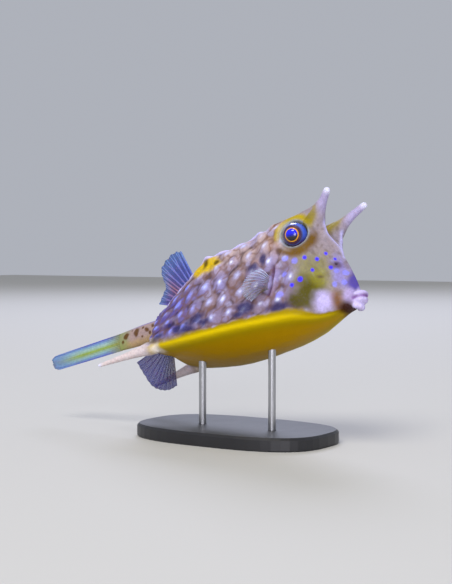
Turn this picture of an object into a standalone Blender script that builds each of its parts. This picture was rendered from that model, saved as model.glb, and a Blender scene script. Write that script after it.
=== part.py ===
"""Longhorn cowfish, banked as it swims, as a life-size museum model on a plain stand.

The fish is drawn in its own frame, in millimetres: X runs to the snout, Y to its left and Z
to its back. An empty then pitches and rolls it over the stand, whose underside is the floor.
"""

import math

import bmesh
import bpy
import numpy as np
from mathutils import Matrix, Vector
from mathutils.bvhtree import BVHTree

MM = 0.001
GAP = 0.3  # left between two nodes that touch

# Pose of the fish over the stand
PITCH_UP = 14.8  # degrees, nose up
ROLL_LEFT = 18.8  # degrees, left side down, so that the belly turns to the right
FISH_HEIGHT = 70.0  # of the fish's own origin above the floor

# Places along the fish, by X
NECK_X = 39.0  # head and carapace part here
RIM_X = -48.5  # rear opening of the carapace, where the tail stalk comes out

# The body is drawn between four rails: back midline, brow ridge, keel ridge and belly midline.
# Each station gives back (x, z), brow (x, y, z), keel (x, y, z), belly (x, z), how round its
# corners are (1 is an ellipse), how far its flanks are hollowed and how full its back is.
STATIONS = (
    # lip ring
    ((76.2, -9.8), (75.4, 2.6, -10.8), (72.0, 4.1, -16.7), (71.2, -18.3), 1.00, 0.0, 0.9),
    # muzzle
    ((74.4, -3.2), (70.2, 5.0, -5.0), (66.5, 5.2, -17.8), (65.5, -19.8), 1.00, 0.0, 0.5),
    # face
    ((68.6, 10.0), (61.6, 8.8, 12.0), (56.5, 9.6, -19.6), (55.5, -22.5), 1.00, 0.4, 0.35),
    # brow, under the horns
    ((58.5, 26.0), (58.5, 10.2, 31.5), (45.0, 15.6, -20.4), (44.0, -24.5), 0.55, 0.8, 1.0),
    # behind the eyes
    ((43.0, 34.0), (42.0, 13.5, 33.6), (31.0, 20.4, -21.3), (30.0, -26.5), 0.40, 1.6, 1.0),
    # gills
    ((27.0, 31.0), (26.0, 14.0, 29.6), (17.0, 23.4, -21.6), (16.0, -27.5), 0.38, 2.0, 1.0),
    # shoulder
    ((10.0, 28.5), (9.0, 13.5, 27.2), (3.0, 25.4, -22.0), (2.0, -27.5), 0.38, 2.0, 1.0),
    # hump
    ((-8.0, 27.5), (-9.0, 12.5, 26.0), (-11.0, 26.0, -22.0), (-12.0, -26.5), 0.38, 1.6, 1.0),
    # dorsal fin
    ((-25.0, 18.5), (-25.0, 10.5, 17.2), (-25.0, 24.5, -21.0), (-25.0, -24.0), 0.42, 1.0, 1.0),
    # rear slope
    ((-38.0, 12.0), (-38.0, 8.2, 10.0), (-40.0, 21.5, -19.0), (-38.0, -20.0), 0.50, 0.5, 1.0),
    # between the spines
    ((-44.0, 9.3), (-44.0, 6.8, 7.2), (-46.0, 15.5, -16.0), (-45.0, -16.8), 0.70, 0.0, 1.0),
    # rim of the tail opening
    ((-49.0, 7.6), (-49.0, 5.6, 5.6), (-49.0, 7.0, -8.5), (-48.5, -9.8), 0.90, 0.0, 1.0),
    # past the rim, cut away
    ((-56.0, 6.8), (-56.0, 5.0, 4.8), (-56.0, 5.6, -7.5), (-56.0, -8.8), 0.90, 0.0, 1.0),
)
BROW_V = 0.2  # share of the half girth from the back midline to the brow ridge
KEEL_V = 0.7  # and to the keel ridge
FLANK_V = 0.45  # line along which lengths are taken
HEAD_STATIONS = (0.0, 4.6)  # each stretch runs past the neck plane, which then trims it
TRUNK_STATIONS = (2.82, 12.0)
HEAD_RINGS = 23
HEAD_SIDES = 36

# Horny plates of the carapace
PLATE_ROWS = 24  # round the whole girth, even
PLATE_PITCH = 10.0  # along the flank
PLATE_RISE = 0.7
PLATE_CROWN = 0.4
PLATE_TOP = 0.70  # share of a plate that its raised top takes
PLATE_FADE = 8.0  # the relief grows over this length behind the neck
PLATE_CORNERS = ((0, 4), (2, 2), (2, -2), (0, -4), (-2, -2), (-2, 2))  # along, round the girth

# Eyes, on the left as all that follows; the right side is its mirror image
EYE_AT = (47.6, 13.0, 24.2)
EYE_R = 6.75
GAZE = (0.32, 0.88, -0.35)
EYE_SIDES = 20
EYE_RINGS = 12
ORBIT_AXIS = (0.25, 0.96, 0.12)
ORBIT_OUT = 2.3  # from the eye's centre to the middle of the rim
ORBIT_R = 7.3
ORBIT_THICK = 1.2

# Horns over the eyes: root inside the head, bend and tip; each side has its own tip
HORN_ROOT = (54.0, 7.0, 23.5)
HORN_BEND = (60.8, 10.3, 35.2)
HORN_TIP = {"left": (74.5, 15.9, 44.9), "right": (70.2, 15.5, 43.5)}
HORN_RADII = (3.6, 5.0, 4.6, 3.2, 2.35, 1.95, 1.7)
HORN_CUT = 0.55  # share of the length that belongs to the head
HORN_FOOT = (
    # the brow sweeps up into the back of the horn: place and radius
    (40.5, 11.2, 31.4, 3.3),
    (47.7, 11.1, 32.2, 3.7),
    (54.2, 11.2, 33.1, 3.7),
    (57.6, 11.4, 34.3, 3.0),
    (59.6, 11.5, 35.2, 1.6),
)
FACE_RIDGE = (
    # from the front of the horn down to the middle of the face
    (59.4, 9.9, 34.0, 1.2),
    (60.1, 9.0, 30.0, 1.7),
    (60.9, 8.0, 26.0, 2.2),
    (61.3, 7.1, 22.5, 2.3),
    (62.2, 5.3, 20.4, 2.2),
    (63.6, 3.0, 17.9, 2.1),
    (64.9, 1.0, 15.5, 2.0),
    (66.0, 0.2, 12.0, 1.7),
)
RIDGE_SIDES = 8

# Spines at the rear ends of the keels
SPINE_ROOT = (-34.0, 18.5, -17.5)
SPINE_BEND = (-56.0, 21.5, -20.0)
SPINE_TIP = (-76.6, 24.0, -22.4)
SPINE_RADII = (2.4, 3.7, 2.9, 2.15, 1.65, 1.25, 0.9)
SPINE_CUT = 0.50
SPIKE_SIDES = 12
SPIKE_RINGS = 14
TIP_SLANTS = (35.0, 65.0)  # degrees, two rings that round off a tip

# Snout plane, where the lips sit
SNOUT_AT = (73.1, 0.0, -14.2)
SNOUT_AXIS = (0.874, 0.0, -0.487)
LIPS = {
    # corner (x, y, z), front (x, z), radius at the corner and in front
    "upper_lip": ((74.3, 3.2, -13.5), (77.3, -13.0), 1.9, 2.7),
    "lower_lip": ((73.2, 2.8, -17.7), (75.7, -18.3), 1.3, 1.7),
}
LIP_SIDES = 10
LIP_RINGS = 15
NOSTRIL_AT = (66.6, 5.6, 5.6)
NOSTRIL_R = 0.8
NOSTRIL_SIDES = 8
NOSTRIL_RINGS = 6

# Gill slit, a curved groove before the pectoral fin, as stations and shares of the half girth
GILL_SLIT = ((4.02, 0.43), (3.91, 0.47), (3.88, 0.52), (3.96, 0.56))
GILL_R = 1.2
GILL_SIDES = 8
GILL_RINGS = 9

# Tail stalk: x, middle z, half height, half width
STALK = (
    (-48.8, -0.8, 6.6, 4.6),
    (-56.0, -0.4, 6.1, 4.2),
    (-64.0, -0.5, 5.9, 3.6),
    (-73.0, -0.9, 5.6, 2.8),
    (-81.0, -1.2, 5.2, 1.9),
)
STALK_SIDES = 16
STALK_RINGS = 9

# Fins: a root line inside the body and a line of tips
MEMBRANE = 0.28  # half thickness between the rays
RAY_ROOT = 0.65  # half thickness over a ray, at its root and at its tip
RAY_TIP = 0.40
RAY_FOOT = 0.2  # half width of a ray, as a share of the distance between two
FIN_EDGE = 0.012  # how far the membrane runs past the first and last ray
FIN_GAP = 0.35
FIN_RAYS = 9
FIN_ROWS = 5
CLEAR_STEP = 0.005  # share of a ray's length, tried again until its root is clear
CLEAR_TRIES = 200
DORSAL_ROOTS = ((-24.5, 0, 17.0), (-30.5, 0, 13.5), (-37.0, 0, 10.0))
DORSAL_TIPS = (
    (-37.5, 0.5, 43.5),
    (-42.5, 0.7, 44.2),
    (-48.5, 0.9, 41.3),
    (-52.2, 1.0, 36.5),
    (-51.0, 1.2, 30.3),
    (-49.2, 1.4, 25.2),
    (-51.8, 1.6, 20.4),
    (-54.4, 1.8, 16.2),
)
ANAL_ROOTS = ((-43.0, 0, -14.5), (-45.5, 0, -12.5), (-48.5, 0, -9.0))
ANAL_TIPS = (
    (-44.6, 5.0, -33.3),
    (-50.5, 5.6, -34.3),
    (-57.0, 5.8, -33.0),
    (-62.5, 5.0, -29.5),
    (-67.0, 3.5, -22.2),
    (-70.4, 1.5, -15.2),
)
CAUDAL_ROOTS = ((-80.0, 0, 3.8), (-80.0, 0, -1.2), (-80.0, 0, -6.2))
CAUDAL_TIPS = (
    (-131.0, 0, 1.9),
    (-134.5, 0, 0.6),
    (-134.0, 0, -2.7),
    (-132.5, 0, -5.8),
    (-129.0, 0, -7.4),
)
CAUDAL_PLEAT = 0.6
CAUDAL_RAYS = 10
CAUDAL_ROWS = 6
PECTORAL_OUT = (0.6, 1, 0.15)
PECTORAL_BULGE = 2.2
PECTORAL_ROOTS = ((35.2, 19.4, 1.8), (34.6, 19.6, -1.2), (34.8, 19.9, -4.4))
PECTORAL_TIPS = (
    (32.5, 25.0, 5.5),
    (28.5, 27.0, 3.8),
    (25.5, 28.6, -0.2),
    (24.5, 29.5, -4.8),
    (25.5, 29.0, -9.0),
    (28.5, 27.0, -11.8),
)

# Stand
BASE_HALF = (56.0, 34.0)
BASE_HIGH = 7.0
BASE_EDGES = ((0.0, 0.6), (0.6, 0.0), (BASE_HIGH - 1.2, 0.0), (BASE_HIGH, 1.2))  # height, inset
BASE_SIDES = 48
BASE_SQUARENESS = 0.7  # 1 is an ellipse, less is fuller at the corners
ROD_R = 2.0
ROD_AT = {"front": (25.0, -4.0), "rear": (-19.0, -4.0)}
ROD_INTO_BASE = 4.5
ROD_TOP = {"front": 56.5, "rear": 46.5}  # height of the top end, inside the carapace
BORE_RUN = 40.0  # length of the tool that bores the carapace from below

# Finish of each node, by the start of its name: colour, roughness, metallic
FINISHES = {
    "head": ((0.36, 0.31, 0.30), 0.45, 0.0),
    "carapace": ((0.42, 0.36, 0.40), 0.45, 0.0),
    "tail_stalk": ((0.50, 0.38, 0.32), 0.45, 0.0),
    "horn": ((0.50, 0.46, 0.62), 0.40, 0.0),
    "rear_spine": ((0.60, 0.48, 0.42), 0.40, 0.0),
    "upper_lip": ((0.66, 0.52, 0.60), 0.35, 0.0),
    "lower_lip": ((0.62, 0.46, 0.52), 0.35, 0.0),
    "eye": ((0.03, 0.04, 0.20), 0.05, 0.0),
    "dorsal_fin": ((0.16, 0.20, 0.50), 0.35, 0.0),
    "anal_fin": ((0.12, 0.12, 0.36), 0.35, 0.0),
    "pectoral_fin": ((0.50, 0.48, 0.62), 0.35, 0.0),
    "caudal_fin": ((0.22, 0.38, 0.30), 0.35, 0.0),
    "stand_base": ((0.02, 0.02, 0.02), 0.40, 0.0),
    "stand_rod": ((0.55, 0.55, 0.56), 0.30, 1.0),
}
SMOOTH_ANGLE = 32.0  # degrees; sharper edges stay sharp


def unit(v):
    return v / np.maximum(np.linalg.norm(v, axis=-1, keepdims=True), 1e-9)


def hermite(p0, m0, p1, m1, t):
    """Cubic from p0 to p1 with the end tangents m0 and m1."""
    t = np.asarray(t, float)
    t = t.reshape(t.shape + (1,) * (p0.ndim - t.ndim))
    return (
        (2 * t**3 - 3 * t**2 + 1) * p0
        + (t**3 - 2 * t**2 + t) * m0
        + (3 * t**2 - 2 * t**3) * p1
        + (t**3 - t**2) * m1
    )


def spline(rows, t):
    """Smooth curve through rows at the whole numbers, read at t."""
    rows = np.asarray(rows, float)
    slope = np.gradient(rows, axis=0)
    t = np.clip(np.asarray(t, float), 0, len(rows) - 1)
    k = np.minimum(t.astype(int), len(rows) - 2)
    return hermite(rows[k], slope[k], rows[k + 1], slope[k + 1], t - k)


def bezier(a, b, c, t):
    a, b, c = (np.asarray(p, float) for p in (a, b, c))
    t = np.asarray(t, float)[:, None]
    return (1 - t) ** 2 * a + 2 * t * (1 - t) * b + t**2 * c


def mirrored(point, side):
    return (point[0], point[1] * side, point[2])


BACK = [(s[0][0], 0, s[0][1]) for s in STATIONS]
BROW = [s[1] for s in STATIONS]
KEEL = [s[2] for s in STATIONS]
BELLY = [(s[3][0], 0, s[3][1]) for s in STATIONS]
CORNERS = [s[4:7] for s in STATIONS]


def half_surface(s, v):
    """Point of the smooth body at station s and share v of the half girth, on the left."""
    back, brow, keel, belly = (spline(rail, s) for rail in (BACK, BROW, KEEL, BELLY))
    corners = spline(CORNERS, s)
    roundness, hollow, crest = corners[..., 0:1], corners[..., 1:2], corners[..., 2:3]
    across = np.zeros_like(back)
    across[..., 1] = 1.0
    turn_brow = unit(unit(brow - back) + unit(keel - brow))
    turn_keel = unit(unit(keel - brow) + unit(belly - keel))
    out = np.zeros_like(back)
    one = np.ones_like(roundness)
    for start, end, p0, d0, soft0, p1, d1, soft1, dip in (
        (0.0, BROW_V, back, across, crest, brow, turn_brow, roundness, 0),
        (BROW_V, KEEL_V, brow, turn_brow, roundness, keel, turn_keel, roundness, hollow),
        (KEEL_V, 1.0, keel, turn_keel, roundness, belly, -across, one, 0),
    ):
        t = np.clip((v - start) / (end - start), 0, 1)[..., None]
        span = np.linalg.norm(p1 - p0, axis=-1, keepdims=True)
        p = hermite(p0, d0 * span * soft0, p1, d1 * span * soft1, t)
        p[..., 1:2] -= dip * np.sin(math.pi * t) ** 2
        here = (v >= start) & (v <= end)
        out = np.where(here[..., None], p, out)
    return out


def surface(s, v, rise=0.0):
    """Point of the body at station s, with v from 0 at the back round the left to 2."""
    s, v = np.broadcast_arrays(np.asarray(s, float), np.mod(np.asarray(v, float), 2))
    left = v <= 1
    p = half_surface(s, np.where(left, v, 2 - v))
    p[..., 1] = np.where(left, p[..., 1], -p[..., 1])
    if np.any(rise):
        p = p + surface_normal(s, v) * np.asarray(rise)[..., None]
    return p


def surface_normal(s, v, step=0.01):
    along = surface(s + step, v) - surface(s - step, v)
    around = surface(s, v + step) - surface(s, v - step)
    return unit(np.cross(around, along))


def mesh_object(name, points, faces):
    """Object from points in millimetres."""
    mesh = bpy.data.meshes.new(name)
    mesh.from_pydata([tuple(float(c) * MM for c in p) for p in points], [], faces)
    obj = bpy.data.objects.new(name, mesh)
    bpy.context.scene.collection.objects.link(obj)
    return obj


def tidy(obj, weld=0.002):
    """Merges doubles, makes triangles and turns all faces outwards."""
    bm = bmesh.new()
    bm.from_mesh(obj.data)
    bmesh.ops.remove_doubles(bm, verts=bm.verts, dist=weld * MM)
    bmesh.ops.triangulate(bm, faces=bm.faces)
    bmesh.ops.recalc_face_normals(bm, faces=bm.faces)
    bm.to_mesh(obj.data)
    bm.free()


def slice_off(obj, point, normal):
    """Cuts away what lies past the plane, on the side of its normal, and caps the cut."""
    bm = bmesh.new()
    bm.from_mesh(obj.data)
    cut = bmesh.ops.bisect_plane(
        bm,
        geom=bm.verts[:] + bm.edges[:] + bm.faces[:],
        plane_co=Vector(point) * MM,
        plane_no=Vector(normal),
        clear_outer=True,
        dist=1e-7,
    )
    rim = [e for e in cut["geom_cut"] if isinstance(e, bmesh.types.BMEdge)]
    bmesh.ops.contextual_create(bm, geom=rim)
    bm.to_mesh(obj.data)
    bm.free()
    tidy(obj)


def keep_largest(obj):
    """Leaves only the largest closed surface of a node."""
    bm = bmesh.new()
    bm.from_mesh(obj.data)
    left = set(bm.verts)
    islands = []
    while left:
        island, edge = set(), {left.pop()}
        while edge:
            island |= edge
            edge = {e.other_vert(v) for v in edge for e in v.link_edges} - island
        left -= island
        islands.append(island)
    islands.sort(key=len)
    loose = [v for island in islands[:-1] for v in island]
    bmesh.ops.delete(bm, geom=loose, context="VERTS")
    bm.to_mesh(obj.data)
    bm.free()


def boolean(target, pieces, operation):
    """Joins or cuts the target with the pieces, which are then removed."""
    group = bpy.data.collections.new(target.name + " pieces")
    for piece in pieces:
        group.objects.link(piece)
    modifier = target.modifiers.new(operation.lower(), "BOOLEAN")
    modifier.operation = operation
    modifier.operand_type = "COLLECTION"
    modifier.collection = group
    modifier.solver = "EXACT"
    bpy.context.view_layer.update()
    done = target.evaluated_get(bpy.context.evaluated_depsgraph_get())
    result = bpy.data.meshes.new_from_object(done)
    target.modifiers.remove(modifier)
    target.data = result
    for piece in pieces:
        bpy.data.objects.remove(piece)
    bpy.data.collections.remove(group)
    tidy(target)
    keep_largest(target)


def search_tree(obj):
    bm = bmesh.new()
    bm.from_mesh(obj.data)
    tree = BVHTree.FromBMesh(bm)
    bm.free()
    return tree


def clearance(body, points):
    """Distance of each point from the body, below zero inside it."""
    found = []
    for p in points:
        at, normal, _, distance = body.find_nearest(Vector(p) * MM)
        inside = (Vector(p) * MM - at).dot(normal) < 0
        found.append(-distance / MM if inside else distance / MM)
    return np.array(found)


def skin_faces(rings, sides):
    """Faces of a closed form drawn as rings of points, with a flat cap at each end."""
    faces = []
    for i in range(rings - 1):
        for j in range(sides):
            k = (j + 1) % sides
            a, b = i * sides, (i + 1) * sides
            faces.append((a + j, a + k, b + k, b + j))
    faces.append(tuple(range(sides)))
    faces.append(tuple(range((rings - 1) * sides, rings * sides)))
    return faces


def turn_to(axis):
    """Turns +Z to the axis."""
    return Vector(axis).to_track_quat("Z", "Y").to_matrix()


def tapered_tube(name, path, radii, sides, round_tip=False):
    """Closed tube along a path, with flat ends or a rounded tip."""
    path = np.asarray(path, float)
    radii = np.asarray(radii, float)
    if round_tip:
        heading = unit(path[-1] - path[-2])
        slants = np.radians(TIP_SLANTS)
        extra = [path[-1] - heading * radii[-1] * (1 - math.sin(a)) for a in slants]
        path = np.vstack([path[:-1], path[-1] - heading * radii[-1], *extra])
        radii = np.concatenate([radii, radii[-1] * np.cos(slants)])
    heading = unit(np.gradient(path, axis=0))
    across = unit(np.cross(heading, (0.0, 1.0, 0.0)))
    top = np.cross(across, heading)
    angle = (np.arange(sides) * 2 * math.pi / sides)[None, :, None]
    around = np.cos(angle) * across[:, None] + np.sin(angle) * top[:, None]
    rings = path[:, None] + radii[:, None, None] * around
    obj = mesh_object(name, rings.reshape(-1, 3), skin_faces(len(path), sides))
    tidy(obj)
    return obj


def ball(name, centre, radius, segments, rings, axis=(0, 0, 1)):
    """Closed sphere whose poles lie on the axis."""
    turn = turn_to(axis)
    points = []
    for i in range(rings + 1):
        a = math.pi * i / rings
        for j in range(segments):
            b = 2 * math.pi * j / segments
            p = Vector((math.sin(a) * math.cos(b), math.sin(a) * math.sin(b), math.cos(a)))
            points.append(turn @ p * radius + Vector(centre))
    obj = mesh_object(name, points, skin_faces(rings + 1, segments)[:-2])
    tidy(obj)
    return obj


def torus(name, centre, axis, radius, thickness, segments=24, sides=6):
    turn = turn_to(axis)
    points, faces = [], []
    for i in range(segments):
        a = 2 * math.pi * i / segments
        for j in range(sides):
            b = 2 * math.pi * j / sides
            r = radius + thickness * math.cos(b)
            p = Vector((r * math.cos(a), r * math.sin(a), thickness * math.sin(b)))
            points.append(turn @ p + Vector(centre))
            i2, j2 = (i + 1) % segments, (j + 1) % sides
            faces.append((i * sides + j, i2 * sides + j, i2 * sides + j2, i * sides + j2))
    obj = mesh_object(name, points, faces)
    tidy(obj)
    return obj


def cylinder(name, low, high, radius, sides=20):
    return tapered_tube(name, [low, (Vector(low) + Vector(high)) / 2, high], [radius] * 3, sides)


def make_head():
    """Smooth face from the lip ring to the neck plane."""
    s, v = np.meshgrid(
        np.linspace(*HEAD_STATIONS, HEAD_RINGS),
        np.arange(HEAD_SIDES) * 2 / HEAD_SIDES,
        indexing="ij",
    )
    head = mesh_object("head", surface(s, v).reshape(-1, 3), skin_faces(HEAD_RINGS, HEAD_SIDES))
    tidy(head)
    ridges = []
    for side in (1, -1):
        for ridge in (HORN_FOOT, FACE_RIDGE):
            path = [mirrored(row[:3], side) for row in ridge]
            ridges.append(tapered_tube("ridge", path, [row[3] for row in ridge], RIDGE_SIDES))
    boolean(head, ridges, "UNION")
    slice_off(head, (NECK_X + GAP / 2, 0, 0), (-1, 0, 0))
    slice_off(head, SNOUT_AT, SNOUT_AXIS)
    return head


def plate_relief(s, v):
    """How far the plates rise: less close to the neck, where they meet the smooth head."""
    x = surface(s, v)[..., 0]
    return np.clip((NECK_X - x) / PLATE_FADE, 0.3, 1.0)


def make_carapace():
    """Trunk tiled with six-sided plates, each a raised top with a crowned middle.

    Places on the lattice are whole numbers: 4 make a plate's length, 6 a row's height.
    """
    stations = np.linspace(*TRUNK_STATIONS, 400)
    steps = np.linalg.norm(np.diff(surface(stations, FLANK_V), axis=0), axis=1)
    lengths = np.concatenate([[0.0], np.cumsum(steps)])
    around = PLATE_ROWS * 6
    keys = {}
    places = []

    def vertex(key, along, round_, height):
        if key not in keys:
            keys[key] = len(places)
            places.append((along, round_, height))
        return keys[key]

    faces = []
    for row in range(PLATE_ROWS):
        for column in range(int(lengths[-1] / PLATE_PITCH)):
            u0, w0 = 4 * column + 2 * (row % 2) + 2, 6 * row
            foot, top = [], []
            for du, dw in PLATE_CORNERS:
                u, w = u0 + du, w0 + dw
                foot.append(vertex((u, w % around), u, w, 0.0))
                top.append(vertex((u0, w0, du, dw), u0 + du * PLATE_TOP, w0 + dw * PLATE_TOP, PLATE_RISE))
            middle = vertex((u0, w0, "middle"), u0, w0, PLATE_RISE + PLATE_CROWN)
            for k in range(len(PLATE_CORNERS)):
                n = (k + 1) % len(PLATE_CORNERS)
                faces.append((middle, top[k], top[n]))
                faces.append((top[k], foot[k], foot[n]))
                faces.append((top[k], foot[n], top[n]))
    along, round_, height = np.array(places).T
    s = np.interp(along * PLATE_PITCH / 4, lengths, stations)
    v = round_ * 2 / around
    carapace = mesh_object("carapace", surface(s, v, height * plate_relief(s, v)), faces)
    bm = bmesh.new()
    bm.from_mesh(carapace.data)
    bmesh.ops.holes_fill(bm, edges=[e for e in bm.edges if e.is_boundary])
    bm.to_mesh(carapace.data)
    bm.free()
    tidy(carapace)
    slice_off(carapace, (NECK_X - GAP / 2, 0, 0), (1, 0, 0))
    slice_off(carapace, (RIM_X, 0, 0), (-1, 0, 0))
    return carapace


def spike(name, root, bend, tip, radii, share_from, share_to):
    """Stretch of a horn or spine between two shares of its length."""
    rings = max(3, int(SPIKE_RINGS * (share_to - share_from)))
    t = np.linspace(share_from, share_to, rings)
    r = spline(np.asarray(radii, float)[:, None], t * (len(radii) - 1))[:, 0]
    return tapered_tube(name, bezier(root, bend, tip, t), r, SPIKE_SIDES, round_tip=share_to == 1)


def split_spike(name, body, root, bend, tip, radii, cut):
    """Spike whose lower part is joined to the body; its tip is a node of its own."""
    boolean(body, [spike(name + " root", root, bend, tip, radii, 0, cut)], "UNION")
    free = bezier(root, bend, tip, np.linspace(cut, 1, 20))
    length = np.linalg.norm(np.diff(free, axis=0), axis=1).sum()
    spike(name, root, bend, tip, radii, cut + GAP * (1 - cut) / length, 1)


def make_eye(word, side, head):
    """Eyeball, its socket in the head and the rim round it."""
    centre = Vector(mirrored(EYE_AT, side))
    gaze = Vector(mirrored(GAZE, side)).normalized()
    axis = Vector(mirrored(ORBIT_AXIS, side)).normalized()
    boolean(head, [torus("rim", centre + axis * ORBIT_OUT, axis, ORBIT_R, ORBIT_THICK)], "UNION")
    socket = ball("socket", centre, EYE_R + GAP, EYE_SIDES, EYE_RINGS, gaze)
    at = mirrored(NOSTRIL_AT, side)
    nostril = ball("nostril", at, NOSTRIL_R, NOSTRIL_SIDES, NOSTRIL_RINGS)
    boolean(head, [socket, nostril], "DIFFERENCE")
    ball("eye_" + word, centre, EYE_R, EYE_SIDES, EYE_RINGS, gaze)


def make_lip(name):
    """Thick roll round the front of the mouth, which the snout plane cuts flat behind."""
    corner, front, corner_r, front_r = LIPS[name]
    points = []
    for a in np.radians(np.linspace(0, 180, LIP_RINGS)):
        forward = math.sin(a)
        r = corner_r + (front_r - corner_r) * forward
        x = corner[0] + (front[0] - corner[0]) * forward
        z = corner[2] + (front[1] - corner[2]) * forward
        middle = Vector((x, corner[1] * math.cos(a), z))
        out = Vector((forward, math.cos(a), 0))
        for j in range(LIP_SIDES):
            b = 2 * math.pi * j / LIP_SIDES
            points.append(middle + out * r * math.cos(b) + Vector((0, 0, r * math.sin(b))))
    lip = mesh_object(name, points, skin_faces(LIP_RINGS, LIP_SIDES))
    tidy(lip)
    axis = Vector(SNOUT_AXIS).normalized()
    slice_off(lip, Vector(SNOUT_AT) + axis * GAP, -axis)


def make_gill_slit(side):
    places = spline(GILL_SLIT, np.linspace(0, len(GILL_SLIT) - 1, GILL_RINGS))
    path = [mirrored(surface(s, v), side) for s, v in places]
    return tapered_tube("gill slit", path, [GILL_R] * len(path), GILL_SIDES)


def make_stalk():
    points = []
    for x, z, high, wide in spline(STALK, np.linspace(0, len(STALK) - 1, STALK_RINGS)):
        for a in np.arange(STALK_SIDES) * 2 * math.pi / STALK_SIDES:
            points.append((x, wide * math.sin(a), z + high * math.cos(a)))
    stalk = mesh_object("tail_stalk", points, skin_faces(STALK_RINGS, STALK_SIDES))
    tidy(stalk)
    return stalk


def line_at(line, share):
    """Point of a root or tip line, which runs straight on past its ends."""
    inside = np.clip(share, 0, 1)
    run = np.array(line[-1], float) - line[0]
    return spline(line, inside * (len(line) - 1)) + (share - inside)[:, None] * run


def even_out(values, reach=3):
    """Smooth row that is nowhere below the values."""
    for measure in (np.max, np.mean):
        wide = np.pad(values, reach, mode="edge")
        values = measure([wide[k : k + len(values)] for k in range(2 * reach + 1)], axis=0)
    return values


def make_fin(
    name, body, roots, tips, rays=FIN_RAYS, rows=FIN_ROWS, out=(0, 1, 0), pleat=0.0, bulge=0.0, side=1
):
    """Membrane with a ridge on both faces over every ray, from inside the body to a tip line.

    The rays bow outwards by bulge, and each column of points starts where it is clear of the
    body by the gap.
    """
    share = np.array([j + d for j in range(rays) for d in (-RAY_FOOT, 0, RAY_FOOT)]) / (rays - 1)
    share[0], share[-1] = -FIN_EDGE, 1 + FIN_EDGE
    root, tip = line_at(roots, share), line_at(tips, share)
    column = np.arange(len(share))
    is_ray = column % 3 == 1
    fold = np.where((column // 3) % 2 == 0, pleat, -pleat)
    out = unit(np.asarray(out, float))

    def layers(t):
        """Front and back points at the shares t of every column's length."""
        bow = out * (fold * t + bulge * 4 * t * (1 - t))[:, None]
        middle = root + (tip - root) * t[:, None] + bow
        half = np.where(is_ray, RAY_ROOT + (RAY_TIP - RAY_ROOT) * t, MEMBRANE)[:, None]
        return [(middle + out * half) * [1, side, 1], (middle - out * half) * [1, side, 1]]

    start = np.zeros(len(share))
    for _ in range(CLEAR_TRIES):
        near = np.min([clearance(body, points) for points in layers(start)], axis=0) < FIN_GAP
        if not near.any():
            break
        start[near] += CLEAR_STEP
    start = even_out(start)
    grid = np.array([layers(start + (1 - start) * k / rows) for k in range(rows + 1)])
    front, back = grid[:, 0].reshape(-1, 3), grid[:, 1].reshape(-1, 3)
    wide, count = len(share), len(front)
    faces = []
    for i in range(rows):
        for j in range(wide - 1):
            a, b = i * wide + j, i * wide + j + 1
            c, d = a + wide, b + wide
            for f in ((a, b, d), (a, d, c)):
                faces += [f, tuple(k + count for k in f)]
        for a in (i * wide, i * wide + wide - 1):
            faces.append((a, a + wide, a + wide + count, a + count))
    for j in range(wide - 1):
        for a in (j, rows * wide + j):
            faces.append((a, a + 1, a + 1 + count, a + count))
    fin = mesh_object(name, np.concatenate([front, back]), faces)
    tidy(fin)


def fish_pose():
    return (
        Matrix.Translation(Vector((0, 0, FISH_HEIGHT)))
        @ Matrix.Rotation(-math.radians(PITCH_UP), 4, "Y")
        @ Matrix.Rotation(-math.radians(ROLL_LEFT), 4, "X")
    )


def rod_pockets():
    """Tools that bore the carapace for the rods, in the fish's own frame."""
    to_fish = fish_pose().inverted()
    tools = []
    for word, (x, y) in ROD_AT.items():
        top = Vector((x, y, ROD_TOP[word] + GAP))
        low = top - Vector((0, 0, BORE_RUN))
        tools.append(cylinder("pocket " + word, to_fish @ low, to_fish @ top, ROD_R + GAP))
    return tools


def make_stand():
    """Oval plate with a chamfered edge, and a rod in each of its two blind holes."""
    points = []
    for z, inset in BASE_EDGES:
        for a in np.arange(BASE_SIDES) * 2 * math.pi / BASE_SIDES:
            c, s = math.cos(a), math.sin(a)
            x = (BASE_HALF[0] - inset) * math.copysign(abs(c) ** BASE_SQUARENESS, c)
            y = (BASE_HALF[1] - inset) * math.copysign(abs(s) ** BASE_SQUARENESS, s)
            points.append((x, y, z))
    base = mesh_object("stand_base", points, skin_faces(len(BASE_EDGES), BASE_SIDES))
    tidy(base)
    foot = BASE_HIGH - ROD_INTO_BASE
    holes = []
    for word, (x, y) in ROD_AT.items():
        cylinder("stand_rod_" + word, (x, y, foot), (x, y, ROD_TOP[word]), ROD_R)
        holes.append(cylinder("hole " + word, (x, y, foot - GAP), (x, y, BASE_HIGH + 2), ROD_R + GAP))
    boolean(base, holes, "DIFFERENCE")


def finish(obj):
    """Gives a node its material and smooth shading."""
    key = next(k for k in FINISHES if obj.name.startswith(k))
    colour, roughness, metallic = FINISHES[key]
    material = bpy.data.materials.get(key)
    if material is None:
        material = bpy.data.materials.new(key)
        material.use_nodes = True
        shader = material.node_tree.nodes["Principled BSDF"]
        shader.inputs["Base Color"].default_value = (*colour, 1.0)
        shader.inputs["Roughness"].default_value = roughness
        shader.inputs["Metallic"].default_value = metallic
    obj.data.materials.clear()
    obj.data.materials.append(material)
    obj.data.shade_smooth()
    obj.data.set_sharp_from_angle(angle=math.radians(SMOOTH_ANGLE))


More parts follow.
